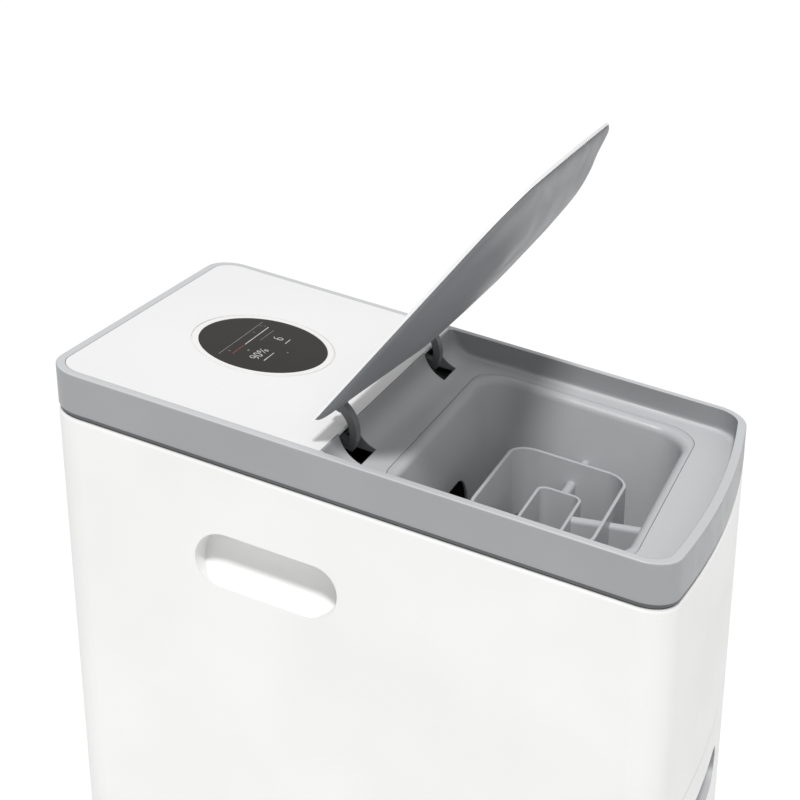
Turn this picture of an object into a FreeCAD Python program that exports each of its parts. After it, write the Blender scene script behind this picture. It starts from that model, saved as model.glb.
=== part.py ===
import FreeCAD, Part
import math
import os

# Slim free-standing household waste compactor, millimetres.
# Frame: +Z up, the user stands on the -Y side, the display is on the +Y side,
# origin on the floor under the centre of the plan outline.
# Waste falls through the hopper into a drawer bin.  A ram plate parked behind
# the bin is pushed forward by two lead screws and presses the waste against
# the drawer front.

V = FreeCAD.Vector
X_AXIS = V(1, 0, 0)
Y_AXIS = V(0, 1, 0)
Z_AXIS = V(0, 0, 1)

# ---- driving dimensions -------------------------------------------------
WIDTH = 300.0
LENGTH = 498.0
REAR_HEIGHT = 680.0
SLOPE = 9.78            # degrees, top plane falls towards the front
BOW_RADIUS = 1000.0     # plan radius of the bowed front
CORNER = 27.0           # plan radius of the vertical corners
SHELL_WALL = 3.5
BODY_DROP = 37.0        # top edge of the body below the rim plane
BAND_DROP = 32.5        # bottom edge of the grey band below the rim plane
RIM_WIDTH = 7.2
DECK_DROP = 20.0        # floor of the lid recess below the rim plane
COVE_RADIUS = 30.0      # cove between the deck and the seam
SIDE_COVE = 5.0         # cove between the deck and the rim
SEAM_Y = 24.0           # line where the display panel meets the deck
FOOT_HEIGHT = 14.0
SHELL_BOTTOM = 12.0

PANEL_THICK = 2.5
DISPLAY_Y = 135.5
DISPLAY_R = 53.0
BEZEL_R = 59.0

LID_OPEN = 60.0         # degrees from shut at rest
LID_HALF_X = 142.0
LID_FRONT_Y = -219.0
LID_REAR_Y = 14.0
LID_CORNER = 45.0
LID_PANEL_THICK = 2.4
PAN_WALL = 2.4
# half width, front, rear, front corner, rear corner and depth below the rim plane
PAN_SECTIONS = (
    (140.8, -213.6, 12.8, 43.0, 2.5, 2.4),
    (136.0, -209.6, 9.0, 40.0, 5.0, 6.2),
    (118.0, -196.5, -10.0, 32.0, 14.0, 11.4),
    (99.5, -184.0, -35.5, 24.0, 22.0, 17.6),
    (82.0, -169.0, -56.0, 22.0, 22.0, 22.2),
    (56.0, -146.0, -82.0, 20.0, 20.0, 24.6),
)
PIVOT_Y = 44.0
PIVOT_DROP = 8.0        # lid pivot below the rim plane
ARM_X = 93.0
PIN_R = 2.0
SLOT_WIDTH = 30.0
SLOT_FRONT_Y = 6.0

MOUTH_HALF_X = 126.0
MOUTH_FRONT_Y = -203.5
MOUTH_REAR_Y = -12.5
MOUTH_CORNER = 28.0
LINER_WALL = 2.2
LINER_BOTTOM_Z = 472.0
GUARD_Y = -110.5
# feed guard rings: half width, half length, drop of the top edge, wall and corner
OUTER_RING = (67.0, 49.5, 50.0, 2.6, 20.0)
INNER_RING = (35.0, 18.5, 64.0, 2.4, 9.0)
BAR_TOP_Z = 550.0
BAR_HALF = 4.0
GUARD_BASE_Z = 516.0

GRIP_Y = 68.0
GRIP_Z = 534.5
GRIP_LENGTH = 118.0
GRIP_HEIGHT = 45.0
GRIP_DEPTH = 28.0
GRIP_WALL = 3.0

DRAWER_HALF_X = 116.0
DRAWER_Z = (44.0, 366.0)
BIN_HALF_X = 101.0
BIN_Y = (-232.0, 8.0)
BIN_Z = (50.0, 360.0)
BIN_WALL = 2.5
BIN_SILL_Z = 84.0

BULKHEAD_Y = 40.0
SCREW_Z = (166.0, 286.0)
PINION_Z = 226.0
SCREW_R = 8.0
TUBE_R = 14.0
TUBE_BORE_R = 10.0
RAM_Y = (14.0, 24.0)
RAM_HALF_X = 93.0
RAM_Z = (92.0, 354.0)
BEARING_PLATE_Y = (194.0, 202.0)
GEAR_Y = (205.0, 215.0)
GEAR_TEETH = 80
PINION_TEETH = 16
MODULE = 1.25
RUN_FIT = 0.05

COS = math.cos(math.radians(SLOPE))
TAN = math.tan(math.radians(SLOPE))
HALF_W = WIDTH / 2.0
REAR_Y = LENGTH / 2.0
FRONT_Y = -LENGTH / 2.0

REAR_COVER_X = 112.0
REAR_COVER_Z = (60.0, 560.0)
COVER_GAP = 0.6
COVER_Y = (REAR_Y - 6.2, REAR_Y - 3.2)
SCREW_SPOTS = [(sx * 106.0, z) for z in (68.0, 310.0, 552.0) for sx in (-1, 1)]
INLET_X = -60.0
INLET_Z = 92.0
EXHAUST_Z = 531.0

PAN_TOP = 18.0

SIDE_FRAME_X = 118.0
RUNNER_Z = 196.0
RUNNER_Y = (-218.0, 6.0)
CHANNEL_X = (105.5, SIDE_FRAME_X)

ARCH_HALF_X = 46.0
ARCH_Z = (502.0, 552.0)

DUCT_Z = (500.0, 560.0)

FAN_Z = (DUCT_Z[0] + DUCT_Z[1]) / 2.0
FAN_Y = (92.0, 112.0)
FAN_R = 27.0

PULL_Z = 318.0
PULL_LENGTH = 120.0
PULL_HEIGHT = 36.0
PULL_DEPTH = 13.0

PILLAR_SPOTS = [(sx * 62.0, z) for sx in (-1, 1) for z in (100.0, 352.0)]
RIM_Z0 = REAR_HEIGHT - TAN * REAR_Y


def rim_z(y):
    """Height of the rim plane over a station along the length."""
    return RIM_Z0 + TAN * y


# ---- shape helpers ------------------------------------------------------
def box(x0, x1, y0, y1, z0, z1):
    return Part.makeBox(x1 - x0, y1 - y0, z1 - z0, V(x0, y0, z0))


def rod(radius, start, end):
    axis = end.sub(start)
    return Part.makeCylinder(radius, axis.Length, start, axis)


def tube(outer, inner, start, end):
    return rod(outer, start, end).cut(rod(inner, start, end))


def mirrored(shape):
    return shape.mirror(V(0, 0, 0), X_AXIS)


def upright_edges(shape):
    found = []
    for edge in shape.Edges:
        first, last = edge.Vertexes[0].Point, edge.Vertexes[-1].Point
        if abs(first.x - last.x) < 1e-6 and abs(first.y - last.y) < 1e-6:
            found.append(edge)
    return found


def rounded_box(x0, x1, y0, y1, z0, z1, radius):
    block = box(x0, x1, y0, y1, z0, z1)
    return block.makeFillet(radius, upright_edges(block))


def column(inset, z0=0.0, z1=760.0):
    """Upright prism of the plan outline, drawn in by the inset."""
    block = box(-HALF_W + inset, HALF_W - inset, FRONT_Y - 30, REAR_Y - inset, z0, z1)
    centre = V(0, FRONT_Y + BOW_RADIUS, z0)
    bow = Part.makeCylinder(BOW_RADIUS - inset, z1 - z0, centre, Z_AXIS)
    prism = block.common(bow)
    return prism.makeFillet(CORNER - inset, upright_edges(prism))


def below(drop):
    """Everything under the rim plane lowered by the drop."""
    block = box(-400, 400, -500, 500, -1500, 0)
    block.rotate(V(0, 0, 0), X_AXIS, SLOPE)
    block.translate(V(0, 0, RIM_Z0 - drop))
    return block


def slab(top_drop, bottom_drop):
    """The layer between two planes parallel to the rim."""
    return below(top_drop).cut(below(bottom_drop))


def tilted(shape):
    """Turn a shape drawn flat, with z = 0 as the rim plane, into place."""
    moved = shape.copy()
    moved.rotate(V(0, 0, 0), X_AXIS, SLOPE)
    moved.translate(V(0, 0, RIM_Z0))
    return moved


def along(y):
    """Length measured on the rim plane for a station in plan."""
    return y / COS


def frustum(lower, upper):
    """Loft between two rounded rectangles given as (x, y0, y1, corner, z)."""
    wires = []
    for half_x, y0, y1, corner, z in (lower, upper):
        block = rounded_box(-half_x, half_x, y0, y1, 0, 1, corner)
        face = [f for f in block.Faces if abs(f.CenterOfMass.z) < 1e-6][0]
        wire = face.OuterWire.copy()
        wire.translate(V(0, 0, z))
        wires.append(wire)
    return Part.makeLoft(wires, True, True)


def profile(points, x0, x1):
    """Prism along X of a polygon given as (y, z) points."""
    corners = [V(x0, y, z) for y, z in points]
    face = Part.Face(Part.makePolygon(corners + corners[:1]))
    return face.extrude(V(x1 - x0, 0, 0))


def join(shapes):
    body = shapes[0]
    for shape in shapes[1:]:
        body = body.fuse(shape)
    return body.removeSplitter()


def spur_gear(teeth, bore, y0, y1, z, phase):
    """Spur gear about Y with straight-sided teeth and a little backlash."""
    pitch_r = MODULE * teeth / 2.0
    pitch_angle = 2 * math.pi / teeth
    levels = ((pitch_r - 1.25 * MODULE, 0.30), (pitch_r, 0.225), (pitch_r + 0.9 * MODULE, 0.12))
    points = []
    for tooth in range(teeth):
        centre = phase + tooth * pitch_angle
        for radius, half in levels:
            points.append((radius, centre - half * pitch_angle))
        for radius, half in reversed(levels):
            points.append((radius, centre + half * pitch_angle))
    corners = [V(r * math.sin(a), y0, z + r * math.cos(a)) for r, a in points]
    face = Part.Face(Part.makePolygon(corners + corners[:1]))
    gear = face.extrude(V(0, y1 - y0, 0))
    return gear.cut(rod(bore, V(0, y0 - 1, z), V(0, y1 + 1, z)))


# ---- cabinet ------------------------------------------------------------
def stadium(length, height, x0, x1, grow=0.0):
    """Stadium prism along X at the hand-hold, lying along the slope."""
    radius = height / 2.0 + grow
    half = length / 2.0 - height / 2.0
    bar = box(x0, x1, -half, half, -radius, radius)
    ends = [rod(radius, V(x0, s * half, 0), V(x1, s * half, 0)) for s in (-1, 1)]
    shape = join([bar] + ends)
    shape.rotate(V(0, 0, 0), X_AXIS, SLOPE)
    return shape


def grip_cutter(wall):
    """Finger pocket on the -X side, grown by the wall: a flat ceiling over a curved scoop."""
    depth = GRIP_DEPTH + wall
    pocket = stadium(GRIP_LENGTH, GRIP_HEIGHT, -HALF_W, -HALF_W + depth, wall)
    reach = (GRIP_HEIGHT ** 2 - GRIP_DEPTH ** 2) / (2.0 * GRIP_DEPTH)
    x, z = -HALF_W - reach, GRIP_HEIGHT / 2.0
    scoop = rod(GRIP_DEPTH + reach + wall, V(x, -90, z), V(x, 90, z))
    scoop.rotate(V(0, 0, 0), X_AXIS, SLOPE)
    pocket = pocket.common(scoop)
    pocket.translate(V(0, GRIP_Y, GRIP_Z))
    return pocket


def body_shell():
    outer = column(0, SHELL_BOTTOM).common(below(BODY_DROP))
    soft = [e for e in outer.Edges if e.BoundBox.ZMin > rim_z(FRONT_Y) - BODY_DROP - 1]
    outer = outer.makeFillet(2.2, soft)
    shell = outer.cut(column(SHELL_WALL, 0))
    for place in (lambda s: s, mirrored):
        shell = shell.fuse(place(grip_cutter(GRIP_WALL)).common(column(1.0, SHELL_BOTTOM)))
        shell = shell.cut(place(grip_cutter(0.0)))
    # flange that carries the top frame
    flange = column(SHELL_WALL - 1.0).cut(column(14.0)).common(slab(BODY_DROP + 6.0, BODY_DROP + 9.0))
    shell = shell.fuse(flange)
    gap = 1.2
    shell = shell.cut(box(-DRAWER_HALF_X - gap, DRAWER_HALF_X + gap, FRONT_Y - 5, FRONT_Y + 40,
                          DRAWER_Z[0] - gap, DRAWER_Z[1] + gap))
    shell = shell.cut(box(-REAR_COVER_X, REAR_COVER_X, REAR_Y - 10, REAR_Y + 5, *REAR_COVER_Z))
    rebate = box(-REAR_COVER_X - 8, REAR_COVER_X + 8, REAR_Y - 9, REAR_Y - SHELL_WALL + 0.5,
                 REAR_COVER_Z[0] - 8, REAR_COVER_Z[1] + 8)
    frame = rebate.cut(box(-REAR_COVER_X + 6, REAR_COVER_X - 6, REAR_Y - 12, REAR_Y,
                           REAR_COVER_Z[0] + 6, REAR_COVER_Z[1] - 6))
    frame = frame.cut(box(-REAR_COVER_X, REAR_COVER_X, REAR_Y - 6.5, REAR_Y, *REAR_COVER_Z))
    return shell.fuse(frame).removeSplitter()


def rear_cover():
    plate = box(-REAR_COVER_X + COVER_GAP, REAR_COVER_X - COVER_GAP, COVER_Y[0], COVER_Y[1],
                REAR_COVER_Z[0] + COVER_GAP, REAR_COVER_Z[1] - COVER_GAP)
    for row in range(9):
        z = EXHAUST_Z - 34.0 + 6.5 * row
        for side in (-1, 1):
            plate = plate.cut(box(side * 30 - 26, side * 30 + 26, COVER_Y[0] - 1, COVER_Y[1] + 1, z, z + 3.0))
    for row in range(7):
        z = 150.0 + 6.5 * row
        plate = plate.cut(box(-45, 45, COVER_Y[0] - 1, COVER_Y[1] + 1, z, z + 3.0))
    plate = plate.cut(box(INLET_X - 14.2, INLET_X + 14.2, COVER_Y[0] - 1, COVER_Y[1] + 1,
                          INLET_Z - 10.2, INLET_Z + 10.2))
    for x, z in SCREW_SPOTS:
        plate = plate.cut(rod(1.7, V(x, COVER_Y[0] - 1, z), V(x, COVER_Y[1] + 1, z)))
    return plate


def rear_cover_screws():
    screws = []
    for x, z in SCREW_SPOTS:
        head = rod(3.0, V(x, COVER_Y[1], z), V(x, COVER_Y[1] + 1.8, z))
        head = head.makeFillet(0.7, [e for e in head.Edges if e.BoundBox.YMin > COVER_Y[1] + 1.7])
        shank = rod(1.6, V(x, COVER_Y[1] - 3.0, z), V(x, COVER_Y[1], z))
        cross = box(x - 1.6, x + 1.6, COVER_Y[1] + 1.0, COVER_Y[1] + 3, z - 0.35, z + 0.35)
        upright = box(x - 0.35, x + 0.35, COVER_Y[1] + 1.0, COVER_Y[1] + 3, z - 1.6, z + 1.6)
        screws.append(head.fuse(shank).cut(cross).cut(upright))
    return Part.makeCompound(screws)


def power_inlet():
    body = box(INLET_X - 14, INLET_X + 14, REAR_Y - 32, COVER_Y[1], INLET_Z - 10, INLET_Z + 10)
    lip = box(INLET_X - 18, INLET_X + 18, COVER_Y[1], COVER_Y[1] + 2.2, INLET_Z - 14, INLET_Z + 14)
    lip = lip.makeFillet(1.0, [e for e in lip.Edges if e.BoundBox.YMin > COVER_Y[1] + 2.1])
    socket = box(INLET_X - 11, INLET_X + 11, REAR_Y - 18, REAR_Y, INLET_Z - 7, INLET_Z + 7)
    pins = [box(INLET_X + dx - 1, INLET_X + dx + 1, REAR_Y - 20, REAR_Y - 5, INLET_Z + dz - 2, INLET_Z + dz + 2)
            for dx, dz in ((-5, -2), (5, -2), (0, 3))]
    return join([body.fuse(lip).cut(socket)] + pins)


def base_pan():
    tray = column(SHELL_WALL + 0.5, FOOT_HEIGHT, 30.0).cut(column(SHELL_WALL + 3.0, PAN_TOP, 40.0))
    return tray


def rubber_feet():
    feet = []
    for sx in (-1, 1):
        for y in (FRONT_Y + 62.0, REAR_Y - 52.0):
            foot = Part.makeCone(13.0, 15.0, FOOT_HEIGHT, V(sx * 108.0, y, 0), Z_AXIS)
            feet.append(foot.makeFillet(1.5, [e for e in foot.Edges if e.BoundBox.ZMax < 0.1]))
    return Part.makeCompound(feet)


def chassis_side():
    """Steel side frame on the +X side that carries the drawer runner."""
    front, rear = RUNNER_Y[0], BULKHEAD_Y - 0.2
    plate = box(SIDE_FRAME_X, SIDE_FRAME_X + 2.0, front, rear, PAN_TOP, 376.0)
    foot = box(SIDE_FRAME_X, SIDE_FRAME_X + 14.0, front, rear, PAN_TOP, PAN_TOP + 2.0)
    plate = plate.fuse(foot)
    for y in (-180.0, -120.0, -60.0):
        for z in (90.0, 290.0):
            plate = plate.cut(rod(14.0, V(SIDE_FRAME_X - 1, y, z), V(SIDE_FRAME_X + 3, y, z)))
    return plate.removeSplitter()


def runner_channel():
    """Fixed runner channel on the +X side, open towards the bin."""
    x0, x1 = CHANNEL_X
    y0, y1 = RUNNER_Y
    block = box(x0, x1, y0, y1, RUNNER_Z - 20, RUNNER_Z + 20)
    groove = box(x0 + 1.8, x1 - 2.0, y0 - 1, y1 + 1, RUNNER_Z - 17, RUNNER_Z + 17)
    mouth = box(x0 - 1, x0 + 2, y0 - 1, y1 + 1, RUNNER_Z - 13, RUNNER_Z + 13)
    return block.cut(groove).cut(mouth)


def runner_slide():
    """Sliding runner on the +X side, screwed to the bin."""
    y0, y1 = RUNNER_Y[0] + 2.0, RUNNER_Y[1] - 2.0
    head_x = CHANNEL_X[0] + 2.5
    web = box(BIN_HALF_X, head_x + 1.0, y0, y1, RUNNER_Z - 12, RUNNER_Z + 12)
    head = box(head_x, CHANNEL_X[1] - 3.0, y0, y1, RUNNER_Z - 16, RUNNER_Z + 16)
    pocket = box(BIN_HALF_X + 2.5, CHANNEL_X[1], y0 + 16, y1 - 16, RUNNER_Z - 8, RUNNER_Z + 8)
    return web.fuse(head).cut(pocket).removeSplitter()


# ---- top frame, panel and display ---------------------------------------
def recess_void():
    """Space over the deck: flat floor with a cove that rises to the seam."""
    floor = -DECK_DROP * COS
    cove_y = along(SEAM_Y) - math.sqrt(COVE_RADIUS ** 2 - (COVE_RADIUS + floor) ** 2)
    flat = box(-200, 200, -400, cove_y, floor, 60)
    drum = Part.makeCylinder(COVE_RADIUS, 400, V(-200, cove_y, floor + COVE_RADIUS), X_AXIS)
    return tilted(flat.fuse(drum.common(box(-200, 200, cove_y, along(SEAM_Y), -60, 60))))


def lid_recess():
    """Recess for the lid, with its floor coved up to the rim."""
    void = column(RIM_WIDTH).common(recess_void()).removeSplitter()
    edges = []
    for edge in void.Edges:
        ends = [edge.valueAt(u) for u in (edge.FirstParameter, edge.LastParameter)]
        low = all(abs(p.z - rim_z(p.y) + DECK_DROP) < 0.3 for p in ends)
        across = edge.BoundBox.XLength > 250 and edge.BoundBox.YMin > -100
        if low and not across:
            edges.append(edge)
    return void.makeFillet(SIDE_COVE, edges)


def mouth_prism(grow, top_drop, bottom_drop):
    """Layer of the upright prism over the hopper mouth."""
    prism = rounded_box(-MOUTH_HALF_X - grow, MOUTH_HALF_X + grow, MOUTH_FRONT_Y - grow,
                        MOUTH_REAR_Y + grow, 400, 760, MOUTH_CORNER + grow)
    return prism.common(slab(top_drop, bottom_drop))


def top_frame():
    frame = column(0).common(slab(0, BAND_DROP))
    soft = [e for e in frame.Edges if e.BoundBox.ZMin > rim_z(FRONT_Y) - 1.0]
    frame = frame.makeFillet(1.6, soft)
    behind = box(-400, 400, SEAM_Y, 500, 0, 900)
    ahead = box(-400, 400, -500, SEAM_Y, 0, 900)
    # recess for the display panel, ledge under its edge, void behind the ledge
    frame = frame.cut(column(RIM_WIDTH).common(slab(-30, PANEL_THICK + 0.1)).common(behind))
    ledge_void = column(RIM_WIDTH + 8).common(box(-400, 400, SEAM_Y + 10, 500, 0, 900))
    frame = frame.cut(ledge_void.common(slab(-30, 90)))
    frame = frame.cut(column(3.2).common(slab(PANEL_THICK + 3.0, 90)).common(behind))
    # lid recess with its coved rear edge, and the space under the deck
    frame = frame.cut(lid_recess())
    under = column(3.2).common(ahead).common(below(DECK_DROP + 2.6))
    frame = frame.cut(under)
    frame = frame.cut(mouth_prism(0.35, -20, 90))
    for side in (-1, 1):
        middle = side * ARM_X
        frame = frame.cut(box(middle - SLOT_WIDTH / 2, middle + SLOT_WIDTH / 2, SLOT_FRONT_Y, SEAM_Y + 12, 400, 900))
    return frame.removeSplitter()


def trim_lip():
    """Narrow lip and shadow gap between the band and the body."""
    lip = column(2.6).cut(column(6.4)).common(slab(BAND_DROP + 0.1, BODY_DROP - 1.2))
    core = column(SHELL_WALL + 0.3).cut(column(6.4)).common(slab(BAND_DROP + 0.1, BODY_DROP + 5.9))
    return lip.fuse(core).removeSplitter()


def display_panel():
    panel = column(RIM_WIDTH + 0.35).common(slab(0.0, PANEL_THICK))
    panel = panel.common(box(-400, 400, SEAM_Y + 0.35, 500, 0, 900))
    hole = Part.makeCylinder(BEZEL_R + 0.15, 60, V(0, along(DISPLAY_Y), -30), Z_AXIS)
    return panel.cut(tilted(hole))


def display_disc(radius, top, bottom, bore=0.0):
    disc = Part.makeCylinder(radius, top - bottom, V(0, along(DISPLAY_Y), bottom), Z_AXIS)
    if bore:
        disc = disc.cut(Part.makeCylinder(bore, 80, V(0, along(DISPLAY_Y), -40), Z_AXIS))
    return disc


def display_bezel():
    ring = display_disc(BEZEL_R, 0.0, -2.5, DISPLAY_R + 0.15)
    flange = display_disc(BEZEL_R + 4, -2.6, -4.4, DISPLAY_R - 3)
    wall = display_disc(BEZEL_R, -2.0, -4.0, DISPLAY_R + 0.15)
    groove = display_disc(BEZEL_R, 1.0, -0.5, BEZEL_R - 0.9)
    return tilted(join([ring, flange, wall]).cut(groove))


def display_glass():
    disc = display_disc(DISPLAY_R, -0.15, -2.4)
    return tilted(disc.makeFillet(0.5, [e for e in disc.Edges if e.BoundBox.ZMin > -0.2]))


def display_housing():
    cup = display_disc(BEZEL_R + 2, -4.5, -22.0).cut(display_disc(BEZEL_R - 0.5, 0, -20.0))
    return tilted(cup)


def display_board():
    return tilted(display_disc(48.0, -10.0, -11.6))


# ---- hopper -------------------------------------------------------------
def hopper_well(grow):
    """Tapered well with rounded corners, grown outwards from its inner face."""
    low = (95.0 + grow, -188.0 - grow, -34.0 + grow, 32.0, 440.0)
    top = (124.0 + grow, -198.5 - grow, -18.0 + grow, 24.0, 640.0)
    return frustum(low, top)


def arch_prism(half_x, y0, y1, z0, z1, radius):
    """Round-topped passage along the length."""
    block = box(-half_x, half_x, y0, y1, z0, z1)
    top_edges = []
    for edge in block.Edges:
        bounds = edge.BoundBox
        if bounds.ZMin > z1 - 0.01 and bounds.YMax - bounds.YMin > 1.0:
            top_edges.append(edge)
    return block.makeFillet(radius, top_edges)


def lip_edges(solid):
    """Inner edges of the collar at the level of the deck."""
    edges = []
    for edge in solid.Edges:
        points = [v.Point for v in edge.Vertexes]
        if any(abs(p.z - rim_z(p.y) + DECK_DROP) > 0.05 for p in points):
            continue
        bounds = edge.BoundBox
        across = bounds.XMin > -MOUTH_HALF_X + 3 and bounds.XMax < MOUTH_HALF_X - 3
        if across and bounds.YMin > MOUTH_FRONT_Y + 3 and bounds.YMax < MOUTH_REAR_Y - 3:
            edges.append(edge)
    return edges


def hopper_liner():
    collar = mouth_prism(0.0, DECK_DROP, DECK_DROP + 11.0)
    flange = mouth_prism(5.5, DECK_DROP + 2.9, DECK_DROP + 6.0)
    well = hopper_well(LINER_WALL).common(below(DECK_DROP + 4.0))
    solid = join([collar, flange, well]).cut(hopper_well(0.0))
    solid = solid.makeFillet(7.0, lip_edges(solid))
    solid = solid.cut(box(-300, 300, -400, 100, 0, LINER_BOTTOM_Z))
    return solid.cut(arch_prism(ARCH_HALF_X, -60, 20, *ARCH_Z, 22.0)).removeSplitter()


def guard_ring(half_x, half_y, drop, wall, corner):
    outer = rounded_box(-half_x, half_x, GUARD_Y - half_y, GUARD_Y + half_y, GUARD_BASE_Z, 700, corner)
    inner = rounded_box(-half_x + wall, half_x - wall, GUARD_Y - half_y + wall, GUARD_Y + half_y - wall,
                        GUARD_BASE_Z - 1, 701, corner - wall)
    return outer.cut(inner).common(below(drop))


def guard_bar(angle, start):
    """Round-topped bar from the inner ring out past the hopper wall."""
    bar = box(start, 140, -BAR_HALF, BAR_HALF, GUARD_BASE_Z, BAR_TOP_Z - BAR_HALF)
    crown = rod(BAR_HALF, V(start, 0, BAR_TOP_Z - BAR_HALF), V(140, 0, BAR_TOP_Z - BAR_HALF))
    bar = bar.fuse(crown)
    bar.rotate(V(0, 0, 0), Z_AXIS, angle)
    bar.translate(V(0, GUARD_Y, 0))
    return bar


def feed_guard():
    inner_x, inner_y = INNER_RING[:2]
    bars = [guard_bar(0, inner_x - 1.5), guard_bar(180, inner_x - 1.5), guard_bar(270, inner_y - 1.5)]
    guard = join([guard_ring(*OUTER_RING), guard_ring(*INNER_RING)] + bars)
    middle_y = GUARD_Y + (OUTER_RING[1] + inner_y) / 2.0
    guard = guard.cut(arch_prism(13.0, GUARD_Y, middle_y, 510.0, 533.0, 12.0))
    guard = guard.cut(arch_prism(31.0, middle_y, middle_y + 40, 510.0, 535.0, 18.0))
    return guard.common(hopper_well(-0.15)).removeSplitter()


def drop_chute():
    """Funnel from the hopper down to the bin."""
    low = (96.5, -194.0, -32.0, 30.0, 372.0)
    top = (102.0, -194.0, -29.5, 30.0, LINER_BOTTOM_Z - 0.2)
    inner_low = (94.0, -191.5, -34.5, 27.5, 372.0)
    inner_top = (99.5, -191.5, -32.0, 27.5, LINER_BOTTOM_Z - 0.2)
    return frustum(low, top).cut(frustum(inner_low, inner_top))


def air_duct():
    """Duct from the arch in the hopper wall back to the filter."""
    outer = box(-52, 52, -30.0, 58.0, DUCT_Z[0] - 4, DUCT_Z[1] + 4)
    inner = box(-49, 49, -31.0, 59.0, DUCT_Z[0] - 1, DUCT_Z[1] + 1)
    duct = outer.cut(inner)
    return duct.cut(hopper_well(LINER_WALL + 0.3))


def carbon_filter():
    return box(-48.5, 48.5, 60.0, 88.0, DUCT_Z[0] - 0.5, DUCT_Z[1] + 0.5)


def fan_housing():
    block = box(-31, 31, FAN_Y[0], FAN_Y[1], FAN_Z - 31, FAN_Z + 31)
    block = block.cut(rod(FAN_R + 1.0, V(0, FAN_Y[0] - 1, FAN_Z), V(0, FAN_Y[1] + 1, FAN_Z)))
    hub = rod(12.0, V(0, FAN_Y[0], FAN_Z), V(0, FAN_Y[0] + 4, FAN_Z))
    spokes = [box(-1.5, 1.5, FAN_Y[0], FAN_Y[0] + 3, FAN_Z - 30, FAN_Z + 30),
              box(-30, 30, FAN_Y[0], FAN_Y[0] + 3, FAN_Z - 1.5, FAN_Z + 1.5)]
    stub = rod(1.5, V(0, FAN_Y[0] + 3, FAN_Z), V(0, FAN_Y[1] - 3, FAN_Z))
    return join([block, hub, stub] + spokes)


def fan_rotor():
    y0, y1 = FAN_Y[0] + 5.0, FAN_Y[1] - 1.0
    hub = rod(11.0, V(0, y0, FAN_Z), V(0, y1, FAN_Z))
    blades = []
    for step in range(7):
        blade = box(-0.8, 0.8, y0 + 1, y1 - 1, 8.0, FAN_R)
        blade.rotate(V(0, (y0 + y1) / 2, 0), Z_AXIS, 32.0)
        blade.rotate(V(0, 0, 0), Y_AXIS, step * 360.0 / 7)
        blade.translate(V(0, 0, FAN_Z))
        blades.append(blade)
    rotor = join([hub] + blades).common(rod(FAN_R, V(0, y0, FAN_Z), V(0, y1, FAN_Z)))
    return rotor.cut(rod(1.5 + RUN_FIT, V(0, y0 - 1, FAN_Z), V(0, y1 - 2, FAN_Z)))


# ---- lid ----------------------------------------------------------------
PIVOT = V(0, PIVOT_Y, rim_z(PIVOT_Y) - PIVOT_DROP)


def opened(shape):
    moved = shape.copy()
    moved.rotate(PIVOT, X_AXIS, -LID_OPEN)
    return moved


def lid_plan(inset):
    """Upright prism of the lid outline: bowed front, round front corners, square rear."""
    block = box(-LID_HALF_X + inset, LID_HALF_X - inset, LID_FRONT_Y - 30, LID_REAR_Y - inset, 0, 900)
    bow = Part.makeCylinder(BOW_RADIUS - inset, 900, V(0, LID_FRONT_Y + BOW_RADIUS, 0), Z_AXIS)
    prism = block.common(bow)
    front = [e for e in upright_edges(prism) if e.BoundBox.YMax < LID_REAR_Y - 60]
    return prism.makeFillet(LID_CORNER - inset, front)


def lid_top_panel():
    plate = lid_plan(0).common(slab(0.0, LID_PANEL_THICK))
    top = [e for e in plate.Edges if e.CenterOfMass.z > rim_z(e.CenterOfMass.y) - 0.6]
    return opened(plate.makeFillet(0.9, top))


def pan_section(half_x, y0, y1, front_r, rear_r, drop):
    """Closed outline of the lid pan at one depth, in the plane of the rim."""
    corners = ((-1, y0, front_r, 180), (1, y0, front_r, 270), (1, y1, rear_r, 0), (-1, y1, rear_r, 90))
    ends = []
    arcs = []
    for side, y, radius, start in corners:
        centre = V(side * (half_x - radius), y + (radius if y == y0 else -radius), -drop)
        points = []
        for turn in (0, 45, 90):
            angle = math.radians(start + turn)
            points.append(centre.add(V(radius * math.cos(angle), radius * math.sin(angle), 0)))
        arcs.append(Part.Arc(*points).toShape())
        ends.append((points[0], points[2]))
    edges = []
    for index, arc in enumerate(arcs):
        edges.append(arc)
        edges.append(Part.makeLine(ends[index][1], ends[(index + 1) % 4][0]))
    return Part.Wire(edges)


def pan_body(inset, lift):
    """Convex plug of the lid: its sections drawn in by the inset and raised by the lift."""
    wires = []
    for half_x, y0, y1, front_r, rear_r, drop in PAN_SECTIONS:
        wires.append(pan_section(half_x - inset, along(y0) + inset, along(y1) - inset,
                                 front_r - inset, max(rear_r - inset, 1.0), drop - lift))
    return tilted(Part.makeLoft(wires, True, False))


def lid_inner_pan():
    """Convex underside tray that dips into the hopper mouth when the lid is shut."""
    shell = pan_body(0.0, 0.0).cut(pan_body(PAN_WALL, PAN_WALL))
    return opened(shell.common(below(LID_PANEL_THICK)))


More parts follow.
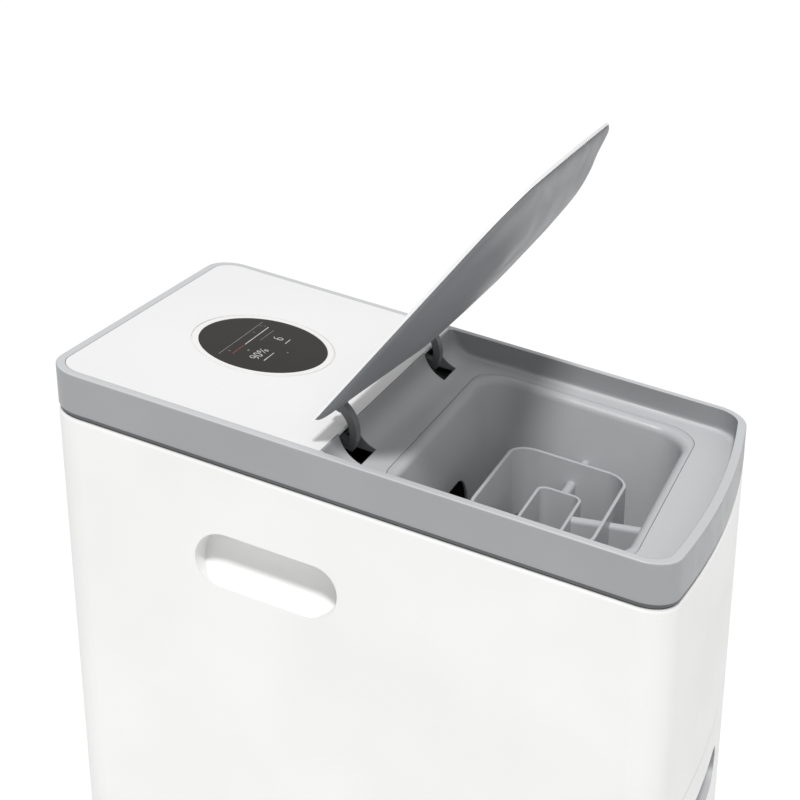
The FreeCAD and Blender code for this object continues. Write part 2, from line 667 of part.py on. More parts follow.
def hinge_arm():
    """Gooseneck arm on the +X side, clear of the panel edge as it turns."""
    half = 4.0
    r_in, r_out = 24.0, 30.0
    centre = V(ARM_X - half, PIVOT.y, PIVOT.z)
    end = V(ARM_X + half, PIVOT.y, PIVOT.z)
    ring = tube(r_out, r_in, centre, end)
    fan = [V(centre.x - 1, PIVOT.y, PIVOT.z)]
    steps = 16
    first, last = math.radians(184.0), math.radians(263.0)
    for i in range(steps + 1):
        a = first + (last - first) * i / steps
        fan.append(V(centre.x - 1, PIVOT.y + 60 * math.cos(a), PIVOT.z + 60 * math.sin(a)))
    wedge = Part.Face(Part.makePolygon(fan + fan[:1])).extrude(V(2 * half + 2, 0, 0))
    neck = ring.common(wedge)
    spoke = box(ARM_X - half, ARM_X + half, PIVOT.y - 3.0, PIVOT.y + 3.0, PIVOT.z - 29.5, PIVOT.z)
    spoke.rotate(PIVOT, X_AXIS, -8.0)
    boss = rod(4.5, centre, end)
    arm = join([neck, spoke, boss])
    arm = arm.cut(rod(PIN_R + 1.0, V(centre.x - 1, PIVOT.y, PIVOT.z), V(end.x + 1, PIVOT.y, PIVOT.z)))
    return arm


def lid_foot():
    """Foot that joins the gooseneck to the lid tray, shut position."""
    return box(ARM_X - 4.0, ARM_X + 4.0, LID_REAR_Y - 5.0, PIVOT.y - 22.5, PIVOT.z - 6.0, PIVOT.z + 2.0)


def lid_arm(side):
    arm = join([hinge_arm(), lid_foot()])
    arm = arm.cut(lid_plan(0).common(slab(-10.0, LID_PANEL_THICK))).cut(pan_body(0.0, 0.0))
    arm = arm if side > 0 else mirrored(arm)
    return opened(arm)


def hinge_bushes():
    x0, x1 = ARM_X - 4.0, ARM_X + 4.0
    bush = tube(PIN_R + 1.0, PIN_R + RUN_FIT, V(x0, PIVOT.y, PIVOT.z), V(x1, PIVOT.y, PIVOT.z))
    return Part.makeCompound([bush, mirrored(bush)])


def hinge_pins():
    pin = rod(PIN_R, V(ARM_X - 11, PIVOT.y, PIVOT.z), V(ARM_X + 11, PIVOT.y, PIVOT.z))
    return Part.makeCompound([pin, mirrored(pin)])


def hinge_bracket(side):
    """Bracket with two ears that carries the pin under the panel."""
    ears = []
    for x0 in (ARM_X - 9.0, ARM_X + 6.0):
        ears.append(box(x0, x0 + 3.0, PIVOT.y - 4.5, PIVOT.y + 16.0, PIVOT.z - 26.0, PIVOT.z + 4.2))
    back = box(ARM_X - 9.0, ARM_X + 9.0, PIVOT.y + 14.0, PIVOT.y + 17.0, PIVOT.z - 34.0, PIVOT.z + 4.2)
    bracket = join(ears + [back])
    bracket = bracket.common(below(PANEL_THICK + 0.4))
    bracket = bracket.cut(rod(PIN_R, V(0, PIVOT.y, PIVOT.z), V(200, PIVOT.y, PIVOT.z)))
    return bracket if side > 0 else mirrored(bracket)


# ---- drawer -------------------------------------------------------------
def pull_shape(y0, y1, grow):
    radius = PULL_HEIGHT / 2.0 + grow
    half = PULL_LENGTH / 2.0 - PULL_HEIGHT / 2.0
    ends = [rod(radius, V(s * half, y0, PULL_Z), V(s * half, y1, PULL_Z)) for s in (-1, 1)]
    return join([box(-half, half, y0, y1, PULL_Z - radius, PULL_Z + radius)] + ends)


def drawer_front():
    panel = column(0).cut(column(SHELL_WALL)).common(
        box(-DRAWER_HALF_X, DRAWER_HALF_X, FRONT_Y - 5, FRONT_Y + 40, *DRAWER_Z))
    edges = [e for e in panel.Edges if e.BoundBox.YMax < FRONT_Y + 7.0 and outer_edge(e)]
    if edges:
        panel = panel.makeFillet(0.8, edges)
    return panel.cut(pull_shape(FRONT_Y - 5, FRONT_Y + 20, 0.0))


def outer_edge(edge):
    """True for an edge on the outer bowed face."""
    point = edge.CenterOfMass
    radius = math.hypot(point.x, point.y - FRONT_Y - BOW_RADIUS)
    return abs(radius - BOW_RADIUS) < 0.4


def drawer_pull_cup():
    cup = pull_shape(FRONT_Y + 0.5, FRONT_Y + PULL_DEPTH + 2.5, 0.0).common(column(0.4))
    return cup.cut(pull_shape(FRONT_Y - 1, FRONT_Y + PULL_DEPTH, -2.0))


def drawer_bin():
    outer = rounded_box(-BIN_HALF_X, BIN_HALF_X, BIN_Y[0], BIN_Y[1] + 30, BIN_Z[0], BIN_Z[1], 12.0)
    outer = outer.common(box(-200, 200, -400, BIN_Y[1], 0, 600))
    inner = rounded_box(-BIN_HALF_X + BIN_WALL, BIN_HALF_X - BIN_WALL, BIN_Y[0] + BIN_WALL, BIN_Y[1] + 60,
                        BIN_Z[0] + BIN_WALL, BIN_Z[1] + 5, 9.5)
    shell = outer.cut(inner)
    sill = box(-BIN_HALF_X + 1, BIN_HALF_X - 1, BIN_Y[1] - BIN_WALL, BIN_Y[1], BIN_Z[0] + 1, BIN_SILL_Z)
    return join([shell, sill])


def drawer_mounts():
    """Blocks that hold the front panel on the bin."""
    blocks = []
    for sx in (-1, 1):
        for z in (90.0, 250.0):
            block = box(sx * 78 - 12, sx * 80 + 12, FRONT_Y - 2, BIN_Y[0], z, z + 24)
            blocks.append(block.common(column(SHELL_WALL, 0)))
    return Part.makeCompound(blocks)


# ---- press --------------------------------------------------------------
def pair(maker):
    """The lower and the upper copy of a piece that each lead screw has."""
    return Part.makeCompound([maker(z) for z in SCREW_Z])


def ram_plate():
    plate = rounded_box(-RAM_HALF_X, RAM_HALF_X, RAM_Y[0], RAM_Y[1], RAM_Z[0], RAM_Z[1], 3.0)
    for row in range(5):
        z = RAM_Z[0] + 26.0 + row * 50.0
        plate = plate.cut(box(-RAM_HALF_X + 14, RAM_HALF_X - 14, RAM_Y[0] - 1, RAM_Y[0] + 3.0, z, z + 12))
    return plate


def push_tube(z):
    y0, y1 = RAM_Y[1], 192.0
    return tube(TUBE_R, TUBE_BORE_R, V(0, y0, z), V(0, y1, z))


def screw_nut(z):
    return tube(TUBE_BORE_R, SCREW_R + RUN_FIT, V(0, 172.0, z), V(0, 192.0, z))


def lead_screw(z):
    body = rod(SCREW_R, V(0, 50.0, z), V(0, GEAR_Y[1] + 4, z))
    return body.makeChamfer(1.0, [e for e in body.Edges if e.BoundBox.YMax < 50.5])


def screw_gear(z):
    gear = spur_gear(GEAR_TEETH, SCREW_R, GEAR_Y[0], GEAR_Y[1], z, 0.0 if z < PINION_Z else math.pi)
    for step in range(6):
        a = math.pi / 6 + step * math.pi / 3
        hole = V(28 * math.sin(a), GEAR_Y[0] - 1, z + 28 * math.cos(a))
        gear = gear.cut(rod(9.0, hole, hole.add(V(0, 14, 0))))
    return gear


def drive_pinion():
    half_pitch = math.pi / PINION_TEETH
    gear = spur_gear(PINION_TEETH, 0.5, GEAR_Y[0] - 0.5, GEAR_Y[1] + 0.5, PINION_Z, half_pitch)
    shaft = rod(4.0, V(0, 186.0, PINION_Z), V(0, GEAR_Y[1] + 2, PINION_Z))
    return gear.fuse(shaft).removeSplitter()


def ball_bearing(z):
    return tube(14.0, SCREW_R + RUN_FIT, V(0, BEARING_PLATE_Y[0], z), V(0, BEARING_PLATE_Y[1], z))


def bearing_plate():
    plate = box(-72, 72, BEARING_PLATE_Y[0], BEARING_PLATE_Y[1], 90.0, 362.0)
    for z in SCREW_Z:
        plate = plate.cut(rod(14.0, V(0, 150, z), V(0, 240, z)))
    plate = plate.cut(rod(9.0, V(0, 150, PINION_Z), V(0, 240, PINION_Z)))
    for x, z in PILLAR_SPOTS:
        plate = plate.cut(rod(3.0, V(x, 150, z), V(x, 240, z)))
    return plate


def bulkhead():
    plate = box(-132, 132, BULKHEAD_Y, BULKHEAD_Y + 3.0, PAN_TOP, 486.0)
    for z in SCREW_Z:
        plate = plate.cut(rod(19.0, V(0, 0, z), V(0, 90, z)))
    return plate


def tube_bush(z):
    flange = tube(24.0, TUBE_R + RUN_FIT, V(0, BULKHEAD_Y + 3.0, z), V(0, BULKHEAD_Y + 7.0, z))
    sleeve = tube(19.0, TUBE_R + RUN_FIT, V(0, BULKHEAD_Y - 5.0, z), V(0, BULKHEAD_Y + 3.0, z))
    return flange.fuse(sleeve).removeSplitter()


def standoff_pillars():
    pillars = [rod(6.0, V(x, BULKHEAD_Y + 3.0, z), V(x, BEARING_PLATE_Y[0], z)) for x, z in PILLAR_SPOTS]
    return Part.makeCompound(pillars)


def plate_bolts():
    bolts = []
    for x, z in PILLAR_SPOTS:
        head = rod(5.5, V(x, BEARING_PLATE_Y[1], z), V(x, BEARING_PLATE_Y[1] + 5.0, z))
        shank = rod(3.0, V(x, BEARING_PLATE_Y[0], z), V(x, BEARING_PLATE_Y[1], z))
        bolts.append(head.fuse(shank))
    return Part.makeCompound(bolts)


def drive_motor():
    can = rod(31.0, V(0, 76.0, PINION_Z), V(0, 148.0, PINION_Z))
    can = can.makeFillet(4.0, [e for e in can.Edges if e.BoundBox.YMax < 77.0])
    cap = rod(14.0, V(0, 70.0, PINION_Z), V(0, 76.0, PINION_Z))
    return can.fuse(cap)


def gearbox_case():
    case = rod(34.0, V(0, 148.0, PINION_Z), V(0, BEARING_PLATE_Y[0], PINION_Z))
    return case.cut(rod(4.6, V(0, 184.0, PINION_Z), V(0, 220, PINION_Z)))


def gear_cover():
    outer = box(-62, 62, BEARING_PLATE_Y[1], 228.0, 108.0, 344.0)
    inner = box(-59, 59, BEARING_PLATE_Y[1] - 1, 225.0, 111.0, 341.0)
    return outer.cut(inner)


def chamber_roof():
    return box(-SIDE_FRAME_X + 0.2, SIDE_FRAME_X - 0.2, -31.5, BULKHEAD_Y - 0.2, 366.0, 368.5)


def power_supply():
    case = box(-80, 80, 70.0, 190.0, PAN_TOP, 78.0)
    return case.makeFillet(2.0, upright_edges(case))


def control_board():
    board = box(-60, 60, BULKHEAD_Y + 9.0, BULKHEAD_Y + 10.6, 392.0, 472.0)
    parts = [board]
    for x, z, w, h, d in ((-40, 400, 22, 30, 14), (-8, 405, 30, 22, 9), (32, 440, 20, 22, 12), (-45, 448, 34, 14, 8)):
        parts.append(box(x, x + w, BULKHEAD_Y + 10.6, BULKHEAD_Y + 10.6 + d, z, z + h))
    return join(parts)


def level_sensor():
    return box(-12, 12, -4.0, 6.0, 602.0, 612.0)


# ---- export -------------------------------------------------------------
def build_parts():
    lower, upper = SCREW_Z
    parts = {
        "body_shell": body_shell(), "rear_cover": rear_cover(),
        "rear_cover_screws": rear_cover_screws(), "power_inlet": power_inlet(),
        "base_pan": base_pan(), "rubber_feet": rubber_feet(),
        "chassis_side_right": chassis_side(), "chassis_side_left": mirrored(chassis_side()),
        "runner_channel_right": runner_channel(), "runner_channel_left": mirrored(runner_channel()),
        "top_frame": top_frame(), "trim_lip": trim_lip(), "display_panel": display_panel(),
        "display_bezel": display_bezel(), "display_glass": display_glass(),
        "display_housing": display_housing(), "display_board": display_board(),
        "hopper_liner": hopper_liner(), "feed_guard": feed_guard(), "drop_chute": drop_chute(),
        "air_duct": air_duct(), "carbon_filter": carbon_filter(), "fan_housing": fan_housing(),
        "fan_rotor": fan_rotor(), "lid_top_panel": lid_top_panel(), "lid_inner_pan": lid_inner_pan(),
        "hinge_arm_right": lid_arm(1), "hinge_arm_left": lid_arm(-1),
        "hinge_bushes": hinge_bushes(), "hinge_pins": hinge_pins(),
        "hinge_bracket_right": hinge_bracket(1), "hinge_bracket_left": hinge_bracket(-1),
        "drawer_front": drawer_front(), "drawer_pull_cup": drawer_pull_cup(),
        "drawer_bin": drawer_bin(), "drawer_mounts": drawer_mounts(),
        "runner_slide_right": runner_slide(), "runner_slide_left": mirrored(runner_slide()),
        "ram_plate": ram_plate(), "push_tubes": pair(push_tube), "screw_nuts": pair(screw_nut),
        "lead_screw_lower": lead_screw(lower), "lead_screw_upper": lead_screw(upper),
        "screw_gear_lower": screw_gear(lower), "screw_gear_upper": screw_gear(upper),
        "drive_pinion": drive_pinion(), "ball_bearings": pair(ball_bearing),
        "bearing_plate": bearing_plate(), "bulkhead": bulkhead(), "tube_bushes": pair(tube_bush),
        "standoff_pillars": standoff_pillars(), "plate_bolts": plate_bolts(),
        "drive_motor": drive_motor(), "gearbox_case": gearbox_case(), "gear_cover": gear_cover(),
        "chamber_roof": chamber_roof(), "power_supply": power_supply(), "control_board": control_board(),
        "level_sensor": level_sensor(),
    }
    return parts


def main():
    os.makedirs("parts", exist_ok=True)
    for name, shape in build_parts().items():
        shape.exportStep("parts/" + name + ".step")
        print(name, len(shape.Solids), round(shape.Volume / 1000.0, 1), shape.isValid())


main()
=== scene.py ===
"""Looks for a kitchen trash compactor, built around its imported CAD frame.

Every sub-assembly of the machine is a class with its own sizes, and every surface is a finish
named for the real material and the way it was made. Lengths are metres unless a name ends in
_mm, and the frame is the CAD's own: +Z up, the front towards -Y, the wide sides at +X and -X.
"""

import logging
import math
from dataclasses import dataclass, field
from enum import Enum
from typing import Sequence

import bpy
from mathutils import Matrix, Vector


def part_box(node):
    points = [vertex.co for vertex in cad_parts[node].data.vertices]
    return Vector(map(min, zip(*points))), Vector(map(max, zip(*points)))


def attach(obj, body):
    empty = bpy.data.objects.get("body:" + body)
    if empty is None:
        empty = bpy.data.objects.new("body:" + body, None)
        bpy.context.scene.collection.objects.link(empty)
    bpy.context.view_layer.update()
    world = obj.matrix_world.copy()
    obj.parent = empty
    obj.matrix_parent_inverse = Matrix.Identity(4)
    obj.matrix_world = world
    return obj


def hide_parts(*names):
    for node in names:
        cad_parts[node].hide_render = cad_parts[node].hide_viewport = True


LOG = logging.getLogger("compactor")
MM = 0.001
RIM_SLOPE = math.radians(9.78)

# sockets of the mix node when it blends colours, and the output that carries the blend
SHARE, FIRST, SECOND = 0, 6, 7
BLEND = 2

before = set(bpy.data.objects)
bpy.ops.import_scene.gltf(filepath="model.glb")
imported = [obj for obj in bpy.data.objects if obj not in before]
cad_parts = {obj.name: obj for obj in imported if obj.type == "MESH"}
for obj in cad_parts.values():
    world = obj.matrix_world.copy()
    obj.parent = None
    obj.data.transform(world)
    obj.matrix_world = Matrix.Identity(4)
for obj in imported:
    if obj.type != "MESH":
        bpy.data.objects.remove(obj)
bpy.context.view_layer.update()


# ---- shared helpers -----------------------------------------------------
def linear(code: str) -> tuple[float, float, float, float]:
    """Turn an sRGB hex colour into linear RGBA.

    Args:
        code: Colour such as "#A5A6A8".

    Returns:
        Linear red, green, blue and an alpha of one.
    """
    parts = [int(code[i:i + 2], 16) / 255 for i in (1, 3, 5)]
    rgb = [p / 12.92 if p <= 0.04045 else ((p + 0.055) / 1.055) ** 2.4 for p in parts]
    return (rgb[0], rgb[1], rgb[2], 1.0)


def per_mm(size_mm: float) -> float:
    """Scale a texture to a real size.

    Args:
        size_mm: Width of one cell of the texture.

    Returns:
        Texture scale for coordinates in metres.
    """
    return 1000.0 / size_mm


def add_node(tree: bpy.types.NodeTree, kind: str, links: dict | None = None,
             **settings) -> bpy.types.Node:
    """Add one shader node with its settings, values and links.

    Args:
        tree: Node tree that takes the node.
        kind: Blender's name for the node type.
        links: Socket name or index to a value, or to the output socket that feeds it.
        **settings: Attributes of the node.

    Returns:
        The new node.
    """
    node = tree.nodes.new(kind)
    for name, value in settings.items():
        setattr(node, name, value)
    for socket, value in (links or {}).items():
        if isinstance(value, bpy.types.NodeSocket):
            tree.links.new(value, node.inputs[socket])
        else:
            node.inputs[socket].default_value = value
    return node


def blank_material(title: str) -> tuple[bpy.types.Material, bpy.types.NodeTree, bpy.types.Node]:
    """Make an empty material.

    Args:
        title: Name of the material.

    Returns:
        The material, its node tree and its main shader.
    """
    material = bpy.data.materials.new(title)
    material.use_nodes = True
    tree = material.node_tree
    return material, tree, tree.nodes["Principled BSDF"]


@dataclass(frozen=True)
class Finish:
    """A real surface: what it is called and the record slot that it belongs to."""

    title: str
    slot: str

    def material(self) -> bpy.types.Material:
        """Give the finish's material, made on first use.

        Returns:
            The material, shared by every piece with this finish.
        """
        return bpy.data.materials.get(self.title) or self.make()

    def make(self) -> bpy.types.Material:
        """Build the material's nodes.

        Returns:
            The new material.
        """
        raise NotImplementedError


# ---- finishes -----------------------------------------------------------
@dataclass(frozen=True)
class MouldedPlastic(Finish):
    """Injection-moulded ABS. A spark-eroded mould leaves a fine grain that breaks up highlights,
    edges polish brighter with use, and hands leave soft patches of lower sheen. Where a top-light
    colour is given, faces that look up are painted towards it, as painted light from above."""

    colour: str
    drift: str
    worn: str
    roughness: float
    grain_mm: float = 0.9
    relief_mm: float = 0.010
    handling: float = 0.06
    edge_mm: float = 0.5
    coat: float = 0.0
    # painted top light: the paler colour blended onto faces that look up
    painted_top_light: str = ""
    drift_mm: float = 110.0
    patch_mm: float = 38.0
    streak_scale: tuple[float, float, float] = (40.0, 900.0, 260.0)
    streak_turn: tuple[float, float, float] = (0.5, 0.2, 0.7)
    streak_depth: float = 0.05
    resin_ior: float = 1.53
    coat_roughness: float = 0.12

    def make(self) -> bpy.types.Material:
        """Build the grain, the drift of the resin, the worn edges and the handled patches.

        Returns:
            The new material.
        """
        material, tree, shader = blank_material(self.title)
        point = add_node(tree, "ShaderNodeTexCoord").outputs["Object"]
        drift = add_node(tree, "ShaderNodeTexNoise", {
            "Vector": point, "Scale": per_mm(self.drift_mm), "Detail": 2.0,
        })
        spread = add_node(tree, "ShaderNodeMapRange", {
            "Value": drift.outputs[0], "From Min": 0.35, "From Max": 0.65,
        })
        resin = add_node(tree, "ShaderNodeMix", {
            SHARE: spread.outputs[0], FIRST: linear(self.colour), SECOND: linear(self.drift),
        }, data_type="RGBA")
        soft = add_node(tree, "ShaderNodeBevel", {"Radius": self.edge_mm * MM}, samples=4)
        flat = add_node(tree, "ShaderNodeNewGeometry")
        turn = add_node(tree, "ShaderNodeVectorMath", {
            0: soft.outputs[0], 1: flat.outputs["Normal"],
        }, operation="DOT_PRODUCT")
        edge = add_node(tree, "ShaderNodeMapRange", {
            "Value": turn.outputs["Value"], "From Min": 0.995, "From Max": 0.90, "To Max": 0.7,
        })
        worn = add_node(tree, "ShaderNodeMix", {
            SHARE: edge.outputs[0], FIRST: resin.outputs[BLEND], SECOND: linear(self.worn),
        }, data_type="RGBA")
        colour = worn.outputs[BLEND]
        # painted top light: the upward share of the bevel normal blends the faces that look up
        # towards the paler colour
        if self.painted_top_light:
            facing = add_node(tree, "ShaderNodeSeparateXYZ", {0: soft.outputs[0]})
            painted_top_light_share = add_node(tree, "ShaderNodeMapRange", {
                "Value": facing.outputs["Z"], "From Min": 0.35, "From Max": 0.92,
            }, interpolation_type="SMOOTHSTEP")
            colour = add_node(tree, "ShaderNodeMix", {
                SHARE: painted_top_light_share.outputs[0], FIRST: colour, SECOND: linear(self.painted_top_light),
            }, data_type="RGBA").outputs[BLEND]
        grain = add_node(tree, "ShaderNodeTexNoise", {
            "Vector": point, "Scale": per_mm(self.grain_mm), "Detail": 3.0, "Roughness": 0.6,
        })
        patch = add_node(tree, "ShaderNodeTexNoise", {
            "Vector": point, "Scale": per_mm(self.patch_mm), "Detail": 4.0, "Distortion": 0.8,
        })
        sheen = add_node(tree, "ShaderNodeMapRange", {
            "Value": patch.outputs[0], "From Min": 0.3, "From Max": 0.7,
            "To Min": self.roughness - self.handling, "To Max": self.roughness + self.handling,
        })
        streak_space = add_node(tree, "ShaderNodeMapping", {
            "Vector": point, "Scale": self.streak_scale, "Rotation": self.streak_turn,
        })
        streak = add_node(tree, "ShaderNodeTexNoise", {
            "Vector": streak_space.outputs[0], "Scale": 1.0, "Detail": 1.0,
        })
        hairline = add_node(tree, "ShaderNodeMapRange", {
            "Value": streak.outputs[0], "From Min": 0.70, "From Max": 0.76,
            "To Max": self.streak_depth,
        })
        rough = add_node(tree, "ShaderNodeMath", {
            0: sheen.outputs[0], 1: hairline.outputs[0],
        }, operation="ADD")
        bump = add_node(tree, "ShaderNodeBump", {
            "Height": grain.outputs[0], "Distance": self.relief_mm * MM, "Strength": 1.0,
            "Normal": soft.outputs[0],
        })
        tree.links.new(colour, shader.inputs["Base Color"])
        tree.links.new(rough.outputs[0], shader.inputs["Roughness"])
        tree.links.new(bump.outputs[0], shader.inputs["Normal"])
        shader.inputs["IOR"].default_value = self.resin_ior
        shader.inputs["Coat Weight"].default_value = self.coat
        shader.inputs["Coat Roughness"].default_value = self.coat_roughness
        return material


@dataclass(frozen=True)
class DisplayGlass(Finish):
    """Smoked acrylic printed black from behind. It mirrors the room softly and shows faint
    fingerprints where it is pressed."""

    colour: str = "#191715"
    thin_print: str = "#24201E"
    cloud_mm: float = 30.0
    pad_mm: float = 26.0
    ridge_mm: float = 1.2
    acrylic_ior: float = 1.49
    reflection: float = 0.22

    def make(self) -> bpy.types.Material:
        """Build the black print under a glossy skin with fingerprints in its roughness.

        Returns:
            The new material.
        """
        material, tree, shader = blank_material(self.title)
        point = add_node(tree, "ShaderNodeTexCoord").outputs["Object"]
        cloud = add_node(tree, "ShaderNodeTexNoise", {
            "Vector": point, "Scale": per_mm(self.cloud_mm), "Detail": 3.0,
        })
        tint = add_node(tree, "ShaderNodeMix", {
            SHARE: cloud.outputs[0], FIRST: linear(self.colour), SECOND: linear(self.thin_print),
        }, data_type="RGBA")
        pads = add_node(tree, "ShaderNodeTexVoronoi", {
            "Vector": point, "Scale": per_mm(self.pad_mm),
        })
        pad = add_node(tree, "ShaderNodeMapRange", {
            "Value": pads.outputs["Distance"], "From Min": 0.10, "From Max": 0.34, "To Min": 1.0,
            "To Max": 0.0,
        })
        ridges = add_node(tree, "ShaderNodeTexNoise", {
            "Vector": point, "Scale": per_mm(self.ridge_mm), "Distortion": 3.0,
        })
        smear = add_node(tree, "ShaderNodeMath", {
            0: pad.outputs[0], 1: ridges.outputs[0],
        }, operation="MULTIPLY")
        rough = add_node(tree, "ShaderNodeMapRange", {
            "Value": smear.outputs[0], "To Min": 0.10, "To Max": 0.26,
        })
        tree.links.new(tint.outputs[BLEND], shader.inputs["Base Color"])
        tree.links.new(rough.outputs[0], shader.inputs["Roughness"])
        shader.inputs["IOR"].default_value = self.acrylic_ior
        shader.inputs["Specular IOR Level"].default_value = self.reflection
        return material


@dataclass(frozen=True)
class PlatedSteel(Finish):
    """Zinc-plated sheet. The plating crystallises in faint spangles and dulls to grey, so it
    glints unevenly."""

    colour: str = "#B4B7BA"
    spangle: str = "#9CA0A4"
    roughness: float = 0.36
    spangle_mm: float = 7.0
    patch_mm: float = 24.0
    rolled_scale: tuple[float, float, float] = (1500.0, 90.0, 90.0)
    edge_mm: float = 0.3
    line_depth_mm: float = 0.006

    def make(self) -> bpy.types.Material:
        """Build the spangles, the rolled streaks and the dull patches.

        Returns:
            The new material.
        """
        material, tree, shader = blank_material(self.title)
        point = add_node(tree, "ShaderNodeTexCoord").outputs["Object"]
        cells = add_node(tree, "ShaderNodeTexVoronoi", {
            "Vector": point, "Scale": per_mm(self.spangle_mm),
        })
        tone = add_node(tree, "ShaderNodeMix", {
            0: cells.outputs["Color"], 6: linear(self.colour), 7: linear(self.spangle),
        }, data_type="RGBA")
        rolled = add_node(tree, "ShaderNodeMapping", {"Vector": point, "Scale": self.rolled_scale})
        streak = add_node(tree, "ShaderNodeTexNoise", {
            "Vector": rolled.outputs[0], "Scale": 1.0, "Detail": 2.0,
        })
        patch = add_node(tree, "ShaderNodeTexNoise", {
            "Vector": point, "Scale": per_mm(self.patch_mm), "Detail": 4.0,
        })
        both = add_node(tree, "ShaderNodeMath", {
            0: streak.outputs[0], 1: patch.outputs[0],
        }, operation="MULTIPLY")
        rough = add_node(tree, "ShaderNodeMapRange", {
            "Value": both.outputs[0], "From Max": 0.5, "To Min": self.roughness - 0.1,
            "To Max": self.roughness + 0.14,
        })
        soft = add_node(tree, "ShaderNodeBevel", {"Radius": self.edge_mm * MM}, samples=4)
        bump = add_node(tree, "ShaderNodeBump", {
            "Height": streak.outputs[0], "Distance": self.line_depth_mm * MM,
            "Normal": soft.outputs[0],
        })
        tree.links.new(tone.outputs[BLEND], shader.inputs["Base Color"])
        tree.links.new(rough.outputs[0], shader.inputs["Roughness"])
        tree.links.new(bump.outputs[0], shader.inputs["Normal"])
        shader.inputs["Metallic"].default_value = 1.0
        return material


class Grain(Enum):
    """Direction in which a metal was brushed, drawn or turned."""

    X = (40.0, 2200.0, 2200.0)
    Y = (2200.0, 40.0, 2200.0)
    Z = (2200.0, 2200.0, 40.0)


@dataclass(frozen=True)
class WorkedMetal(Finish):
    """Bare metal brushed, drawn or turned in one direction. Fine parallel lines stretch each
    highlight across them, and handling darkens patches."""

    colour: str = "#C4C4C3"
    dull: str = "#9B9B9A"
    roughness: float = 0.28
    grain: Grain = Grain.Y
    line_depth_mm: float = 0.008
    patch_mm: float = 20.0
    edge_mm: float = 0.25

    def make(self) -> bpy.types.Material:
        """Build the parallel lines and the darker handled patches.

        Returns:
            The new material.
        """
        material, tree, shader = blank_material(self.title)
        point = add_node(tree, "ShaderNodeTexCoord").outputs["Object"]
        lined = add_node(tree, "ShaderNodeMapping", {"Vector": point, "Scale": self.grain.value})
        lines = add_node(tree, "ShaderNodeTexNoise", {
            "Vector": lined.outputs[0], "Scale": 1.0, "Detail": 3.0,
        })
        patch = add_node(tree, "ShaderNodeTexNoise", {
            "Vector": point, "Scale": per_mm(self.patch_mm), "Detail": 4.0,
        })
        worn = add_node(tree, "ShaderNodeMapRange", {
            "Value": patch.outputs[0], "From Min": 0.42, "From Max": 0.75,
        })
        tone = add_node(tree, "ShaderNodeMix", {
            SHARE: worn.outputs[0], FIRST: linear(self.colour), SECOND: linear(self.dull),
        }, data_type="RGBA")
        rough = add_node(tree, "ShaderNodeMapRange", {
            "Value": lines.outputs[0], "From Min": 0.3, "From Max": 0.7,
            "To Min": self.roughness - 0.08, "To Max": self.roughness + 0.1,
        })
        soft = add_node(tree, "ShaderNodeBevel", {"Radius": self.edge_mm * MM}, samples=4)
        bump = add_node(tree, "ShaderNodeBump", {
            "Height": lines.outputs[0], "Distance": self.line_depth_mm * MM,
            "Normal": soft.outputs[0],
        })
        tree.links.new(tone.outputs[BLEND], shader.inputs["Base Color"])
        tree.links.new(rough.outputs[0], shader.inputs["Roughness"])
        tree.links.new(bump.outputs[0], shader.inputs["Normal"])
        shader.inputs["Metallic"].default_value = 1.0
        return material


@dataclass(frozen=True)
class PowderCoat(Finish):
    """Baked polyester powder on steel. It flows out with a slight orange peel and chips to
    bright metal at the corners."""

    colour: str = "#B7B8B9"
    speckle: str = "#A4A5A6"
    peel_mm: float = 2.4
    speck_mm: float = 0.8
    peel_depth_mm: float = 0.05

    def make(self) -> bpy.types.Material:
        """Build the orange peel and the speckled tone.

        Returns:
            The new material.
        """
        material, tree, shader = blank_material(self.title)
        point = add_node(tree, "ShaderNodeTexCoord").outputs["Object"]
        peel = add_node(tree, "ShaderNodeTexNoise", {
            "Vector": point, "Scale": per_mm(self.peel_mm), "Detail": 2.0,
        })
        speck = add_node(tree, "ShaderNodeTexNoise", {
            "Vector": point, "Scale": per_mm(self.speck_mm), "Detail": 1.0,
        })
        tone = add_node(tree, "ShaderNodeMix", {
            SHARE: speck.outputs[0], FIRST: linear(self.colour), SECOND: linear(self.speckle),
        }, data_type="RGBA")
        rough = add_node(tree, "ShaderNodeMapRange", {
            "Value": peel.outputs[0], "To Min": 0.38, "To Max": 0.6,
        })
        bump = add_node(tree, "ShaderNodeBump", {
            "Height": peel.outputs[0], "Distance": self.peel_depth_mm * MM,
        })
        tree.links.new(tone.outputs[BLEND], shader.inputs["Base Color"])
        tree.links.new(rough.outputs[0], shader.inputs["Roughness"])
        tree.links.new(bump.outputs[0], shader.inputs["Normal"])
        return material


